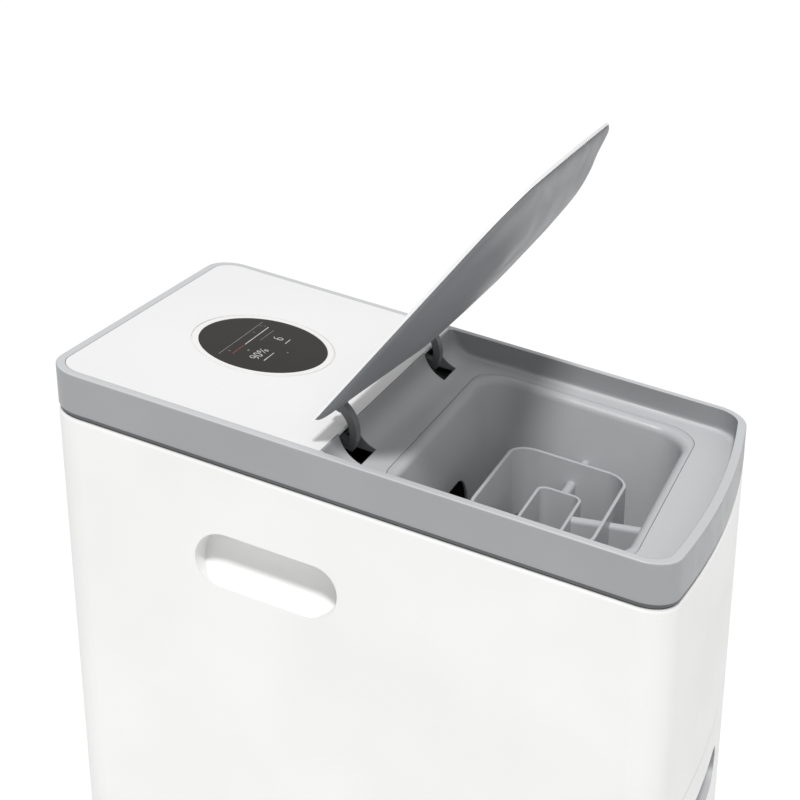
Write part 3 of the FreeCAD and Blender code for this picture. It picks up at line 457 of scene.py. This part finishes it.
@dataclass(frozen=True)
class Elastomer(Finish):
    """Moulded rubber. It is nearly black, blooms to a dry grey on its high spots and picks up
    pale floor dust."""

    colour: str = "#232324"
    bloom: str = "#5B5A58"
    pebble_mm: float = 1.6
    bloom_mm: float = 6.0
    pebble_depth_mm: float = 0.08

    def make(self) -> bpy.types.Material:
        """Build the dusty bloom and the pebbled skin.

        Returns:
            The new material.
        """
        material, tree, shader = blank_material(self.title)
        point = add_node(tree, "ShaderNodeTexCoord").outputs["Object"]
        pebble = add_node(tree, "ShaderNodeTexVoronoi", {
            "Vector": point, "Scale": per_mm(self.pebble_mm),
        })
        bloom = add_node(tree, "ShaderNodeTexNoise", {
            "Vector": point, "Scale": per_mm(self.bloom_mm), "Detail": 5.0,
        })
        dust = add_node(tree, "ShaderNodeMapRange", {
            "Value": bloom.outputs[0], "From Min": 0.45, "From Max": 0.75, "To Max": 0.6,
        })
        tone = add_node(tree, "ShaderNodeMix", {
            SHARE: dust.outputs[0], FIRST: linear(self.colour), SECOND: linear(self.bloom),
        }, data_type="RGBA")
        rough = add_node(tree, "ShaderNodeMapRange", {
            "Value": bloom.outputs[0], "To Min": 0.7, "To Max": 0.95,
        })
        bump = add_node(tree, "ShaderNodeBump", {
            "Height": pebble.outputs["Distance"], "Distance": self.pebble_depth_mm * MM,
        })
        tree.links.new(tone.outputs[BLEND], shader.inputs["Base Color"])
        tree.links.new(rough.outputs[0], shader.inputs["Roughness"])
        tree.links.new(bump.outputs[0], shader.inputs["Normal"])
        return material


@dataclass(frozen=True)
class CircuitLaminate(Finish):
    """Fibreglass board under green solder mask. Copper tracks show as lighter lanes and tinned
    pads as bright dots."""

    mask: str = "#0E4A2C"
    track: str = "#1C6B3F"
    tin: str = "#C9CBC6"
    weave: str = "#105233"
    lane_mm: float = 9.0
    pad_mm: float = 4.0
    pad_height_mm: float = 0.1

    def make(self) -> bpy.types.Material:
        """Build the lanes of copper and the tinned pads.

        Returns:
            The new material.
        """
        material, tree, shader = blank_material(self.title)
        point = add_node(tree, "ShaderNodeTexCoord").outputs["Object"]
        lanes = add_node(tree, "ShaderNodeTexBrick", {
            "Vector": point, "Scale": per_mm(self.lane_mm), "Mortar Size": 0.02,
            "Color1": linear(self.mask), "Color2": linear(self.weave), "Mortar": linear(self.track),
        })
        pads = add_node(tree, "ShaderNodeTexVoronoi", {
            "Vector": point, "Scale": per_mm(self.pad_mm), "Randomness": 0.35,
        })
        dot = add_node(tree, "ShaderNodeMapRange", {
            "Value": pads.outputs["Distance"], "From Min": 0.16, "From Max": 0.12,
        })
        tone = add_node(tree, "ShaderNodeMix", {
            SHARE: dot.outputs[0], FIRST: lanes.outputs["Color"], SECOND: linear(self.tin),
        }, data_type="RGBA")
        rough = add_node(tree, "ShaderNodeMapRange", {
            "Value": dot.outputs[0], "To Min": 0.42, "To Max": 0.25,
        })
        bump = add_node(tree, "ShaderNodeBump", {
            "Height": dot.outputs[0], "Distance": self.pad_height_mm * MM,
        })
        tree.links.new(tone.outputs[BLEND], shader.inputs["Base Color"])
        tree.links.new(rough.outputs[0], shader.inputs["Roughness"])
        tree.links.new(dot.outputs[0], shader.inputs["Metallic"])
        tree.links.new(bump.outputs[0], shader.inputs["Normal"])
        return material


@dataclass(frozen=True)
class CarbonFoam(Finish):
    """Reticulated foam loaded with charcoal. Its open cells are painted darker than their thin
    struts:
    painted shade deep in the cells, where only the struts catch the light."""

    colour: str = "#1B1B1C"
    painted_pore_shade: str = "#0A0A0A"
    cell_mm: float = 1.8
    strut_height_mm: float = 0.6

    def make(self) -> bpy.types.Material:
        """Build the open cells and their struts.

        Returns:
            The new material.
        """
        material, tree, shader = blank_material(self.title)
        point = add_node(tree, "ShaderNodeTexCoord").outputs["Object"]
        cells = add_node(tree, "ShaderNodeTexVoronoi", {
            "Vector": point, "Scale": per_mm(self.cell_mm),
        }, feature="DISTANCE_TO_EDGE")
        strut = add_node(tree, "ShaderNodeMapRange", {
            "Value": cells.outputs["Distance"], "From Max": 0.16, "To Min": 1.0, "To Max": 0.0,
        })
        # painted shade: the cells take the darker colour and the struts the lighter one
        tone = add_node(tree, "ShaderNodeMix", {
            SHARE: strut.outputs[0], FIRST: linear(self.painted_pore_shade), SECOND: linear(self.colour),
        }, data_type="RGBA")
        rough = add_node(tree, "ShaderNodeMapRange", {
            "Value": strut.outputs[0], "To Min": 0.98, "To Max": 0.75,
        })
        bump = add_node(tree, "ShaderNodeBump", {
            "Height": strut.outputs[0], "Distance": self.strut_height_mm * MM,
        })
        tree.links.new(tone.outputs[BLEND], shader.inputs["Base Color"])
        tree.links.new(rough.outputs[0], shader.inputs["Roughness"])
        tree.links.new(bump.outputs[0], shader.inputs["Normal"])
        return material


@dataclass(frozen=True)
class LitSegment(Finish):
    """White or red LED light showing through the black print, a little uneven from end to end."""

    colour: str = "#D9D8D4"
    strength: float = 0.9
    unlit: str = "#2A2826"
    uneven_mm: float = 9.0
    skin_roughness: float = 0.3

    def make(self) -> bpy.types.Material:
        """Build the glow and its unevenness.

        Returns:
            The new material.
        """
        material, tree, shader = blank_material(self.title)
        point = add_node(tree, "ShaderNodeTexCoord").outputs["Object"]
        uneven = add_node(tree, "ShaderNodeTexNoise", {
            "Vector": point, "Scale": per_mm(self.uneven_mm), "Detail": 1.0,
        })
        level = add_node(tree, "ShaderNodeMapRange", {
            "Value": uneven.outputs[0], "To Min": 0.55 * self.strength,
            "To Max": 1.3 * self.strength,
        })
        tree.links.new(level.outputs[0], shader.inputs["Emission Strength"])
        shader.inputs["Emission Color"].default_value = linear(self.colour)
        shader.inputs["Base Color"].default_value = linear(self.unlit)
        shader.inputs["Roughness"].default_value = self.skin_roughness
        return material


WHITE_SHELL = MouldedPlastic(
    "Moulded white ABS, satin", "white_satin", "#EDEDEC", "#E9E9E8", "#F2F2F1", 0.42,
    grain_mm=1.1, relief_mm=0.012, edge_mm=0.9)
WHITE_GLOSS = MouldedPlastic(
    "Moulded white ABS, polished", "white_gloss", "#EEEEEE", "#ECECEC", "#F4F4F4", 0.22,
    grain_mm=2.6, relief_mm=0.004, handling=0.05, coat=0.25)
# the frame's faces that look up, the deck and rim tops, are painted paler as painted top light; its
# sides keep the darker grey
GREY_FRAME = MouldedPlastic(
    "Moulded grey ABS, satin", "grey_abs", "#9C9D9F", "#98999B", "#B0B1B3", 0.40,
    edge_mm=0.9, painted_top_light="#C6C7C9")
GREY_HOPPER = MouldedPlastic(
    "Moulded light grey ABS, fine grain", "light_grey_abs", "#C2C4C6", "#BEC0C2", "#D0D2D3", 0.36,
    grain_mm=0.8, edge_mm=1.4)
# the tray's grey is partly its own grey ABS and partly painted shade: darker than the frame's grey,
# like the shaded underside of the open lid
GREY_PAN_PAINTED_SHADE = MouldedPlastic(
    "Moulded grey ABS, polished", "grey_abs", "#7B7C7F", "#757679", "#909194", 0.42,
    grain_mm=1.2, relief_mm=0.005, edge_mm=0.6)
DARK_TRIM = MouldedPlastic(
    "Moulded charcoal ABS, matt", "dark_trim", "#6A6B6D", "#626365", "#8C8D8F", 0.42)
BLACK_NYLON = MouldedPlastic(
    "Moulded black nylon", "black_plastic", "#26272A", "#202124", "#3C3D40", 0.5)
SILVER_RING = MouldedPlastic(
    "Moulded pearl ring, satin", "silver_ring", "#EDECEB", "#E9E8E7", "#F3F2F1", 0.3,
    grain_mm=0.6, relief_mm=0.006)
GLASS = DisplayGlass("Smoked acrylic, printed behind", "display_glass")
ZINC = PlatedSteel("Zinc-plated steel sheet", "zinc_steel")
STAINLESS = WorkedMetal("Brushed stainless steel", "stainless")
BRASS = WorkedMetal("Turned brass", "brass", "#C9A25A", "#A5813F", 0.26, Grain.X)
ALUMINIUM = WorkedMetal("Extruded aluminium", "aluminium", "#BFC1C3", "#A3A5A7", 0.34, Grain.Z)
PAINTED = PowderCoat("Powder-coated steel", "painted_steel")
RUBBER = Elastomer("Moulded rubber", "rubber")
CIRCUIT = CircuitLaminate("Fibreglass circuit laminate", "circuit")
FOAM = CarbonFoam("Charcoal filter foam", "carbon_foam")
LIT_WHITE = LitSegment("White display light", "display_glass")
LIT_DIM = LitSegment("Dim display light", "display_glass", "#B9B8B5", 0.30)
LIT_RED = LitSegment("Red display light", "display_glass", "#A03028", 0.45)


# ---- geometry helpers ---------------------------------------------------
@dataclass(frozen=True)
class RimPlane:
    """The sloping plane of the rim that the top, the lid and the display are built on."""

    slope: float
    level: float

    def seat(self, across: float, along: float, above: float = 0.0) -> Vector:
        """Place a point given on the plane.

        Args:
            across: Distance to the right of the middle.
            along: Distance up the slope from the station y = 0.
            above: Height off the plane, at right angles to it.

        Returns:
            The point in the row frame.
        """
        return Vector((across, along * math.cos(self.slope) - above * math.sin(self.slope),
                       self.level + along * math.sin(self.slope) + above * math.cos(self.slope)))

    def along(self, y: float) -> float:
        """Measure a station in plan up the slope.

        Args:
            y: Place along the length.

        Returns:
            Distance on the plane from the station y = 0.
        """
        return y / math.cos(self.slope)


def measured_rim() -> RimPlane:
    """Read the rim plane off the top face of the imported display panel.

    Returns:
        The plane, at the panel's real height.
    """
    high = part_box("display_panel")[1]
    return RimPlane(RIM_SLOPE, high[2] - math.tan(RIM_SLOPE) * high[1])


def rounded_outline(half_x: float, y0: float, y1: float, front_r: float, rear_r: float,
                    steps: int = 10) -> list[tuple[float, float]]:
    """Outline of a rectangle with round corners.

    Args:
        half_x: Half of its width.
        y0: Front edge.
        y1: Rear edge.
        front_r: Radius of the two front corners.
        rear_r: Radius of the two rear corners.
        steps: Steps round each corner.

    Returns:
        Points anticlockwise, in the units given.
    """
    points = []
    corners = ((-1, y0, front_r, 180), (1, y0, front_r, 270), (1, y1, rear_r, 0),
               (-1, y1, rear_r, 90))
    for side, y, radius, start in corners:
        cx = side * (half_x - radius)
        cy = y + (radius if y == y0 else -radius)
        for step in range(steps + 1):
            angle = math.radians(start + 90 * step / steps)
            points.append((cx + radius * math.cos(angle), cy + radius * math.sin(angle)))
    return points


def blend(knots: Sequence[Sequence[float]], share: float) -> list[float]:
    """Follow a smooth curve through rows of numbers.

    Args:
        knots: Rows that the curve passes through.
        share: Place along them, 0 at the first and 1 at the last.

    Returns:
        The row at that place.
    """
    place = share * (len(knots) - 1)
    first = min(int(place), len(knots) - 2)
    t = place - first
    rows = [knots[min(max(first + k, 0), len(knots) - 1)] for k in (-1, 0, 1, 2)]
    return [0.5 * (2 * b + (c - a) * t + (2 * a - 5 * b + 4 * c - d) * t ** 2
                   + (3 * b - a - 3 * c + d) * t ** 3)
            for a, b, c, d in zip(*rows)]


def loft_mesh(name: str, rings: Sequence[Sequence[Vector]]) -> bpy.types.Mesh:
    """Skin equal closed rings and close both ends.

    Args:
        name: Mesh name.
        rings: Rings of points from one end to the other.

    Returns:
        The closed mesh.
    """
    count = len(rings[0])
    faces = [tuple(range(count))[::-1]]
    for row in range(len(rings) - 1):
        for k in range(count):
            low = row * count
            nxt = (k + 1) % count
            faces.append((low + k, low + nxt, low + count + nxt, low + count + k))
    faces.append(tuple(range((len(rings) - 1) * count, len(rings) * count)))
    mesh = bpy.data.meshes.new(name)
    mesh.from_pydata([tuple(point) for ring in rings for point in ring], [], faces)
    mesh.update()
    return mesh


def new_piece(name: str, mesh: bpy.types.Mesh, finish: Finish, body: str,
              replaced: Sequence[str] = (), smooth: bool = True) -> None:
    """Put a finished mesh in the scene as a piece of the object.

    Args:
        name: Piece name.
        mesh: Its mesh in the row frame.
        finish: Surface of the piece.
        body: CAD body that it rides on.
        replaced: CAD nodes that it stands for.
        smooth: Whether its faces are smooth shaded.
    """
    piece = bpy.data.objects.new(name, mesh)
    bpy.context.scene.collection.objects.link(piece)
    piece.data.materials.append(finish.material())
    for polygon in mesh.polygons:
        polygon.use_smooth = smooth
    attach(piece, body)
    if replaced:
        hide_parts(*replaced)
    LOG.info("built %s on %s", name, body)


def dress(finishes: dict[str, Finish]) -> None:
    """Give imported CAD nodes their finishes.

    Args:
        finishes: Node name to finish.
    """
    for node, finish in finishes.items():
        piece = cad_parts[node]
        piece.data.materials.clear()
        piece.data.materials.append(finish.material())
        for polygon in piece.data.polygons:
            polygon.material_index = 0
        LOG.info("dressed %s in %s", node, finish.title)


# ---- sub-assemblies -----------------------------------------------------
@dataclass
class Assembly:
    """A sub-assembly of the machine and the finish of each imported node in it."""

    finishes: dict[str, Finish]

    def build(self) -> None:
        """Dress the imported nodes."""
        dress(self.finishes)


@dataclass
class Cabinet(Assembly):
    """The white shell, its grey base pan and feet, and the steel frame inside."""

    finishes: dict[str, Finish] = field(default_factory=lambda: {
        "body_shell": WHITE_SHELL, "base_pan": BLACK_NYLON, "rubber_feet": RUBBER,
        "chassis_side_right": ZINC, "chassis_side_left": ZINC, "runner_channel_right": ZINC,
        "runner_channel_left": ZINC, "chamber_roof": ZINC, "bulkhead": PAINTED,
    })


@dataclass
class TopFrame(Assembly):
    """The grey band and deck with the dark shadow gap below it."""

    finishes: dict[str, Finish] = field(default_factory=lambda: {
        "top_frame": GREY_FRAME, "trim_lip": DARK_TRIM, "display_panel": WHITE_GLOSS,
        "hopper_liner": GREY_HOPPER, "feed_guard": GREY_HOPPER, "drop_chute": GREY_HOPPER,
    })


class Light(Enum):
    """How a mark on the display is lit."""

    FULL = LIT_WHITE
    DIM = LIT_DIM
    RED = LIT_RED


@dataclass(frozen=True)
class Mark:
    """One lit stroke of the display, in millimetres from the middle of the glass."""

    points: tuple[tuple[float, float], ...]
    light: Light = Light.FULL
    width: float = 0.62
    closed: bool = False


def oval(cx: float, cy: float, rx: float, ry: float,
         steps: int = 28) -> tuple[tuple[float, float], ...]:
    """Points round an oval.

    Args:
        cx: Centre across.
        cy: Centre up.
        rx: Half width.
        ry: Half height.
        steps: Number of points.

    Returns:
        The points, without repeating the first.
    """
    angles = [math.radians(360.0 * k / steps) for k in range(steps)]
    return tuple((cx + rx * math.cos(a), cy + ry * math.sin(a)) for a in angles)


# shape of a nine: rise and radius of its loop and reach of its hook, in half heights, and the
# hook's first angle, turn and steps
LOOP_RISE = 0.42
LOOP_RADIUS = 0.56
HOOK_REACH = 0.98
HOOK_SWEEP = (8, 97, 14)


def hooked(cx: float, cy: float, high: float, flip: int) -> list[Mark]:
    """Strokes of a nine, or of a six when it is turned over.

    Args:
        cx: Centre across.
        cy: Centre up.
        high: Height of the numeral.
        flip: 1 for a nine and -1 for a six.

    Returns:
        Its loop and its hook.
    """
    half = 0.5 * high
    radius = LOOP_RADIUS * half
    loop_y = cy + flip * LOOP_RISE * half
    first, turn, steps = HOOK_SWEEP
    angles = [math.radians(first + turn * k / steps) for k in range(steps + 1)]
    loop = Mark(oval(cx, loop_y, radius, radius), closed=True)
    hook = [(cx + flip * radius, loop_y)]
    hook += [(cx + flip * radius * math.cos(a), cy - flip * HOOK_REACH * half * math.sin(a))
             for a in angles]
    return [loop, Mark(tuple(hook))]


@dataclass
class DisplayUnit(Assembly):
    """Round display: glass in a pearl ring, with the bin's level shown by lit strokes."""

    finishes: dict[str, Finish] = field(default_factory=lambda: {
        "display_bezel": SILVER_RING, "display_glass": GLASS, "display_housing": BLACK_NYLON,
        "display_board": CIRCUIT,
    })
    rise_mm: float = 0.16
    sunk_mm: float = -0.02
    foot_share: float = 0.5
    crown_share: float = 0.42
    sign_width: float = 0.5
    tick_half: float = 1.1
    tick_places: tuple[tuple[float, float], ...] = (
        (-29.5, 16.0), (17.2, 16.6), (33.2, 18.0), (35.0, 15.0))

    def build(self) -> None:
        """Dress the unit and light its marks."""
        super().build()
        marks = self.marks()
        for light in Light:
            self.build_marks("display_marks_" + light.name.lower(), light,
                             [mark for mark in marks if mark.light is light])

    def marks(self) -> list[Mark]:
        """Lay out the numerals, bars and ticks of the display.

        Returns:
            The strokes, in millimetres from the middle of the glass.
        """
        marks = [
            Mark(((-40.6, 20.2), (41.5, 20.2)), Light.DIM, 0.7),
            Mark(((-33, 11.7), (-12, 11.7)), Light.RED, 0.9),
            Mark(((-10, 11.7), (35, 11.7))),
            Mark(((6, 5.5), (32, 5.5)), Light.DIM),
            Mark(((14, -13.5), (24, -13.5))),
            Mark(((-28, -14), (-9, -14))),
            Mark(((-19.6, 4.6), (-17.0, 4.6)), Light.DIM, 1.6),
        ]
        for u, v in self.tick_places:
            ends = ((u, v - self.tick_half), (u, v + self.tick_half))
            marks.append(Mark(ends, Light.DIM, 0.8))
        marks.append(Mark(oval(-1, -22.6, 0.5, 0.5), Light.DIM, 0.8, True))
        marks += hooked(19.9, -4.6, 8.0, -1) + hooked(-27.6, -5.2, 7.6, 1)
        marks.append(Mark(oval(-20.8, -5.2, 2.2, 3.7), closed=True))
        marks += [
            Mark(oval(-15.0, -3.2, 1.2, 1.6), width=self.sign_width, closed=True),
            Mark(((-14.4, -8.8), (-9.4, -1.6)), width=self.sign_width),
            Mark(oval(-8.9, -7.2, 1.2, 1.6), width=self.sign_width, closed=True),
        ]
        return marks

    def section(self, mark: Mark, index: int) -> list[tuple[float, float, float]]:
        """Cross a stroke at one of its points.

        Args:
            mark: The stroke.
            index: Number of the point.

        Returns:
            Four corners, as millimetres across, up and off the glass.
        """
        count = len(mark.points)
        u, v = mark.points[index]
        before = mark.points[index - 1] if index or mark.closed else (u, v)
        after = mark.points[(index + 1) % count] if index + 1 < count or mark.closed else (u, v)
        du, dv = after[0] - before[0], after[1] - before[1]
        length = math.hypot(du, dv)
        nu, nv = -dv / length, du / length
        foot, crown = self.foot_share, self.crown_share
        profile = ((foot, self.sunk_mm), (-foot, self.sunk_mm), (-crown, self.rise_mm),
                   (crown, self.rise_mm))
        return [(u + side * mark.width * nu, v + side * mark.width * nv, lift)
                for side, lift in profile]

    def build_marks(self, name: str, light: Light, marks: Sequence[Mark]) -> None:
        """Raise strokes off the glass.

        Args:
            name: Piece name.
            light: How they are lit.
            marks: Strokes to raise.
        """
        rim = measured_rim()
        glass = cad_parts["display_glass"]
        normal = rim.seat(0, 0, 1) - rim.seat(0, 0, 0)
        top = max((vertex.co - rim.seat(0, 0)).dot(normal) for vertex in glass.data.vertices)
        low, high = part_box("display_glass")
        middle = rim.along(0.5 * (low[1] + high[1]))
        points: list[Vector] = []
        faces: list[tuple[int, ...]] = []
        for mark in marks:
            base = len(points)
            count = len(mark.points)
            for index in range(count):
                points += [rim.seat(u * MM, middle + v * MM, top + lift * MM)
                           for u, v, lift in self.section(mark, index)]
            for index in range(count if mark.closed else count - 1):
                here, there = base + 4 * index, base + 4 * ((index + 1) % count)
                for k in range(4):
                    n = (k + 1) % 4
                    faces.append((here + k, here + n, there + n, there + k))
            if not mark.closed:
                faces.append((base, base + 3, base + 2, base + 1))
                end = base + 4 * (count - 1)
                faces.append((end, end + 1, end + 2, end + 3))
        mesh = bpy.data.meshes.new(name)
        mesh.from_pydata([tuple(point) for point in points], [], faces)
        mesh.update()
        new_piece(name, mesh, light.value, "cabinet", smooth=False)


@dataclass
class Lid(Assembly):
    """The hinged lid: polished white panel over a convex grey tray, on two gooseneck arms."""

    open_angle: float = math.radians(60)
    rows: int = 30
    # half width, front, rear, front corner, rear corner and depth, in mm off the shut rim plane
    sections: tuple[tuple[float, ...], ...] = (
        (140.8, -213.6, 12.8, 43.0, 2.5, 2.45), (136.0, -209.6, 9.0, 40.0, 5.0, 6.2),
        (118.0, -196.5, -10.0, 32.0, 14.0, 11.4), (99.5, -184.0, -35.5, 24.0, 22.0, 17.6),
        (82.0, -169.0, -56.0, 22.0, 22.0, 22.2), (56.0, -146.0, -82.0, 20.0, 20.0, 24.5),
    )
    finishes: dict[str, Finish] = field(default_factory=lambda: {
        "lid_top_panel": WHITE_GLOSS, "hinge_arm_right": DARK_TRIM, "hinge_arm_left": DARK_TRIM,
        "hinge_bushes": BRASS, "hinge_pins": STAINLESS, "hinge_bracket_right": ZINC,
        "hinge_bracket_left": ZINC,
    })

    def build(self) -> None:
        """Dress the panel and the hinge, and mould the tray."""
        super().build()
        rim = measured_rim()
        rings = []
        for row in range(self.rows + 1):
            half_x, y0, y1, front_r, rear_r, drop = blend(self.sections, row / self.rows)
            outline = rounded_outline(half_x * MM, rim.along(y0 * MM), rim.along(y1 * MM),
                                      front_r * MM, rear_r * MM)
            rings.append([self.opened(rim.seat(x, t, -drop * MM)) for x, t in outline])
        # the tray's dark grey is partly painted shade of the lid's underside
        new_piece("lid_tray", loft_mesh("lid_tray", rings), GREY_PAN_PAINTED_SHADE, "lid", ("lid_inner_pan",))

    def opened(self, point: Vector) -> Vector:
        """Swing a point of the shut lid up to its resting angle.

        Args:
            point: Point of the shut lid.

        Returns:
            The point with the lid standing open.
        """
        low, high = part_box("hinge_pins")
        dy = point.y - 0.5 * (low[1] + high[1])
        dz = point.z - 0.5 * (low[2] + high[2])
        c, n = math.cos(self.open_angle), math.sin(self.open_angle)
        return Vector((point.x, point.y - dy + c * dy + n * dz, point.z - dz - n * dy + c * dz))


@dataclass
class Drawer(Assembly):
    """The front drawer: white front with a grey finger cup, and the bin on steel runners."""

    finishes: dict[str, Finish] = field(default_factory=lambda: {
        "drawer_front": WHITE_SHELL, "drawer_pull_cup": GREY_FRAME, "drawer_bin": GREY_HOPPER,
        "drawer_mounts": GREY_HOPPER, "runner_slide_right": ZINC, "runner_slide_left": ZINC,
    })


@dataclass
class Press(Assembly):
    """The ram, its two lead screws and the motor that turns them."""

    finishes: dict[str, Finish] = field(default_factory=lambda: {
        "ram_plate": STAINLESS, "push_tubes": ZINC, "screw_nuts": BRASS,
        "lead_screw_lower": STAINLESS, "lead_screw_upper": STAINLESS, "screw_gear_lower": ZINC,
        "screw_gear_upper": ZINC, "drive_pinion": ZINC, "ball_bearings": STAINLESS,
        "bearing_plate": ZINC, "tube_bushes": BLACK_NYLON, "standoff_pillars": ZINC,
        "plate_bolts": ZINC, "drive_motor": ZINC, "gearbox_case": ALUMINIUM,
        "gear_cover": BLACK_NYLON,
    })


@dataclass
class Services(Assembly):
    """Rear cover, power supply, control board, level sensor and the filtered air path."""

    finishes: dict[str, Finish] = field(default_factory=lambda: {
        "rear_cover": GREY_HOPPER, "rear_cover_screws": ZINC, "power_inlet": BLACK_NYLON,
        "air_duct": BLACK_NYLON, "carbon_filter": FOAM, "fan_housing": BLACK_NYLON,
        "fan_rotor": BLACK_NYLON, "power_supply": ALUMINIUM, "control_board": CIRCUIT,
        "level_sensor": BLACK_NYLON,
    })


@dataclass
class Studio:
    """Pale floor, soft key light from the upper rear left and a camera on the hand-hold side."""

    floor_half: float = 14.0
    floor_pale: str = "#FAFAFA"
    floor_dim: str = "#F6F6F6"
    floor_cloud: float = 1.5
    floor_roughness: float = 0.9
    sensor_mm: float = 36.0
    near_clip: float = 0.01
    key_heading: tuple[float, float, float] = (0.60, 0.22, -1.15)
    key_power: float = 2.05
    key_spread: float = math.radians(9)
    sky: float = 0.54
    eye: tuple[float, float, float] = (-1.1352, -0.4148, 1.1167)
    bearing: float = math.radians(69.21)
    tilt: float = math.radians(21.9)
    lens_mm: float = 73.59

    def build(self) -> None:
        """Make the floor, the lights and the camera."""
        self.build_floor()
        self.build_light()
        self.build_camera()

    def build_floor(self) -> None:
        """Make a large pale floor under the feet."""
        mesh = bpy.data.meshes.new("studio_floor")
        r = self.floor_half
        mesh.from_pydata([(-r, -r, 0), (r, -r, 0), (r, r, 0), (-r, r, 0)], [], [(0, 1, 2, 3)])
        floor = bpy.data.objects.new("studio_floor", mesh)
        bpy.context.scene.collection.objects.link(floor)
        material, tree, shader = blank_material("Painted studio floor")
        point = add_node(tree, "ShaderNodeTexCoord").outputs["Object"]
        cloud = add_node(tree, "ShaderNodeTexNoise", {
            "Vector": point, "Scale": self.floor_cloud, "Detail": 3.0,
        })
        tone = add_node(tree, "ShaderNodeMix", {
            SHARE: cloud.outputs[0], FIRST: linear(self.floor_pale), SECOND: linear(self.floor_dim),
        }, data_type="RGBA")
        tree.links.new(tone.outputs[BLEND], shader.inputs["Base Color"])
        shader.inputs["Roughness"].default_value = self.floor_roughness
        mesh.materials.append(material)

    def build_light(self) -> None:
        """Make the sky and the key light."""
        world = bpy.data.worlds.new("studio sky")
        bpy.context.scene.world = world
        world.use_nodes = True
        sky = world.node_tree.nodes["Background"]
        sky.inputs["Color"].default_value = (1.0, 1.0, 1.0, 1.0)
        sky.inputs["Strength"].default_value = self.sky
        lamp = bpy.data.lights.new("key light", "SUN")
        lamp.energy = self.key_power
        lamp.angle = self.key_spread
        key = bpy.data.objects.new("key light", lamp)
        key.rotation_euler = Vector(self.key_heading).to_track_quat("-Z", "Y").to_euler()
        bpy.context.scene.collection.objects.link(key)
        bpy.context.scene.view_settings.view_transform = "Standard"

    def build_camera(self) -> None:
        """Make the camera."""
        lens = bpy.data.cameras.new("camera")
        lens.lens = self.lens_mm
        lens.sensor_width = self.sensor_mm
        lens.clip_start = self.near_clip
        camera = bpy.data.objects.new("camera", lens)
        camera.location = self.eye
        gaze = Vector((math.sin(self.bearing) * math.cos(self.tilt),
                       math.cos(self.bearing) * math.cos(self.tilt), -math.sin(self.tilt)))
        camera.rotation_euler = gaze.to_track_quat("-Z", "Y").to_euler()
        bpy.context.scene.collection.objects.link(camera)
        bpy.context.scene.camera = camera


def main() -> None:
    """Build the machine and its studio in order."""
    logging.basicConfig(level=logging.INFO, format="%(name)s: %(message)s")
    order = (Cabinet(), TopFrame(), DisplayUnit(), Lid(), Drawer(), Press(), Services(), Studio())
    for assembly in order:
        assembly.build()
        LOG.info("finished %s", type(assembly).__name__)


if __name__ == "__main__":
    main()
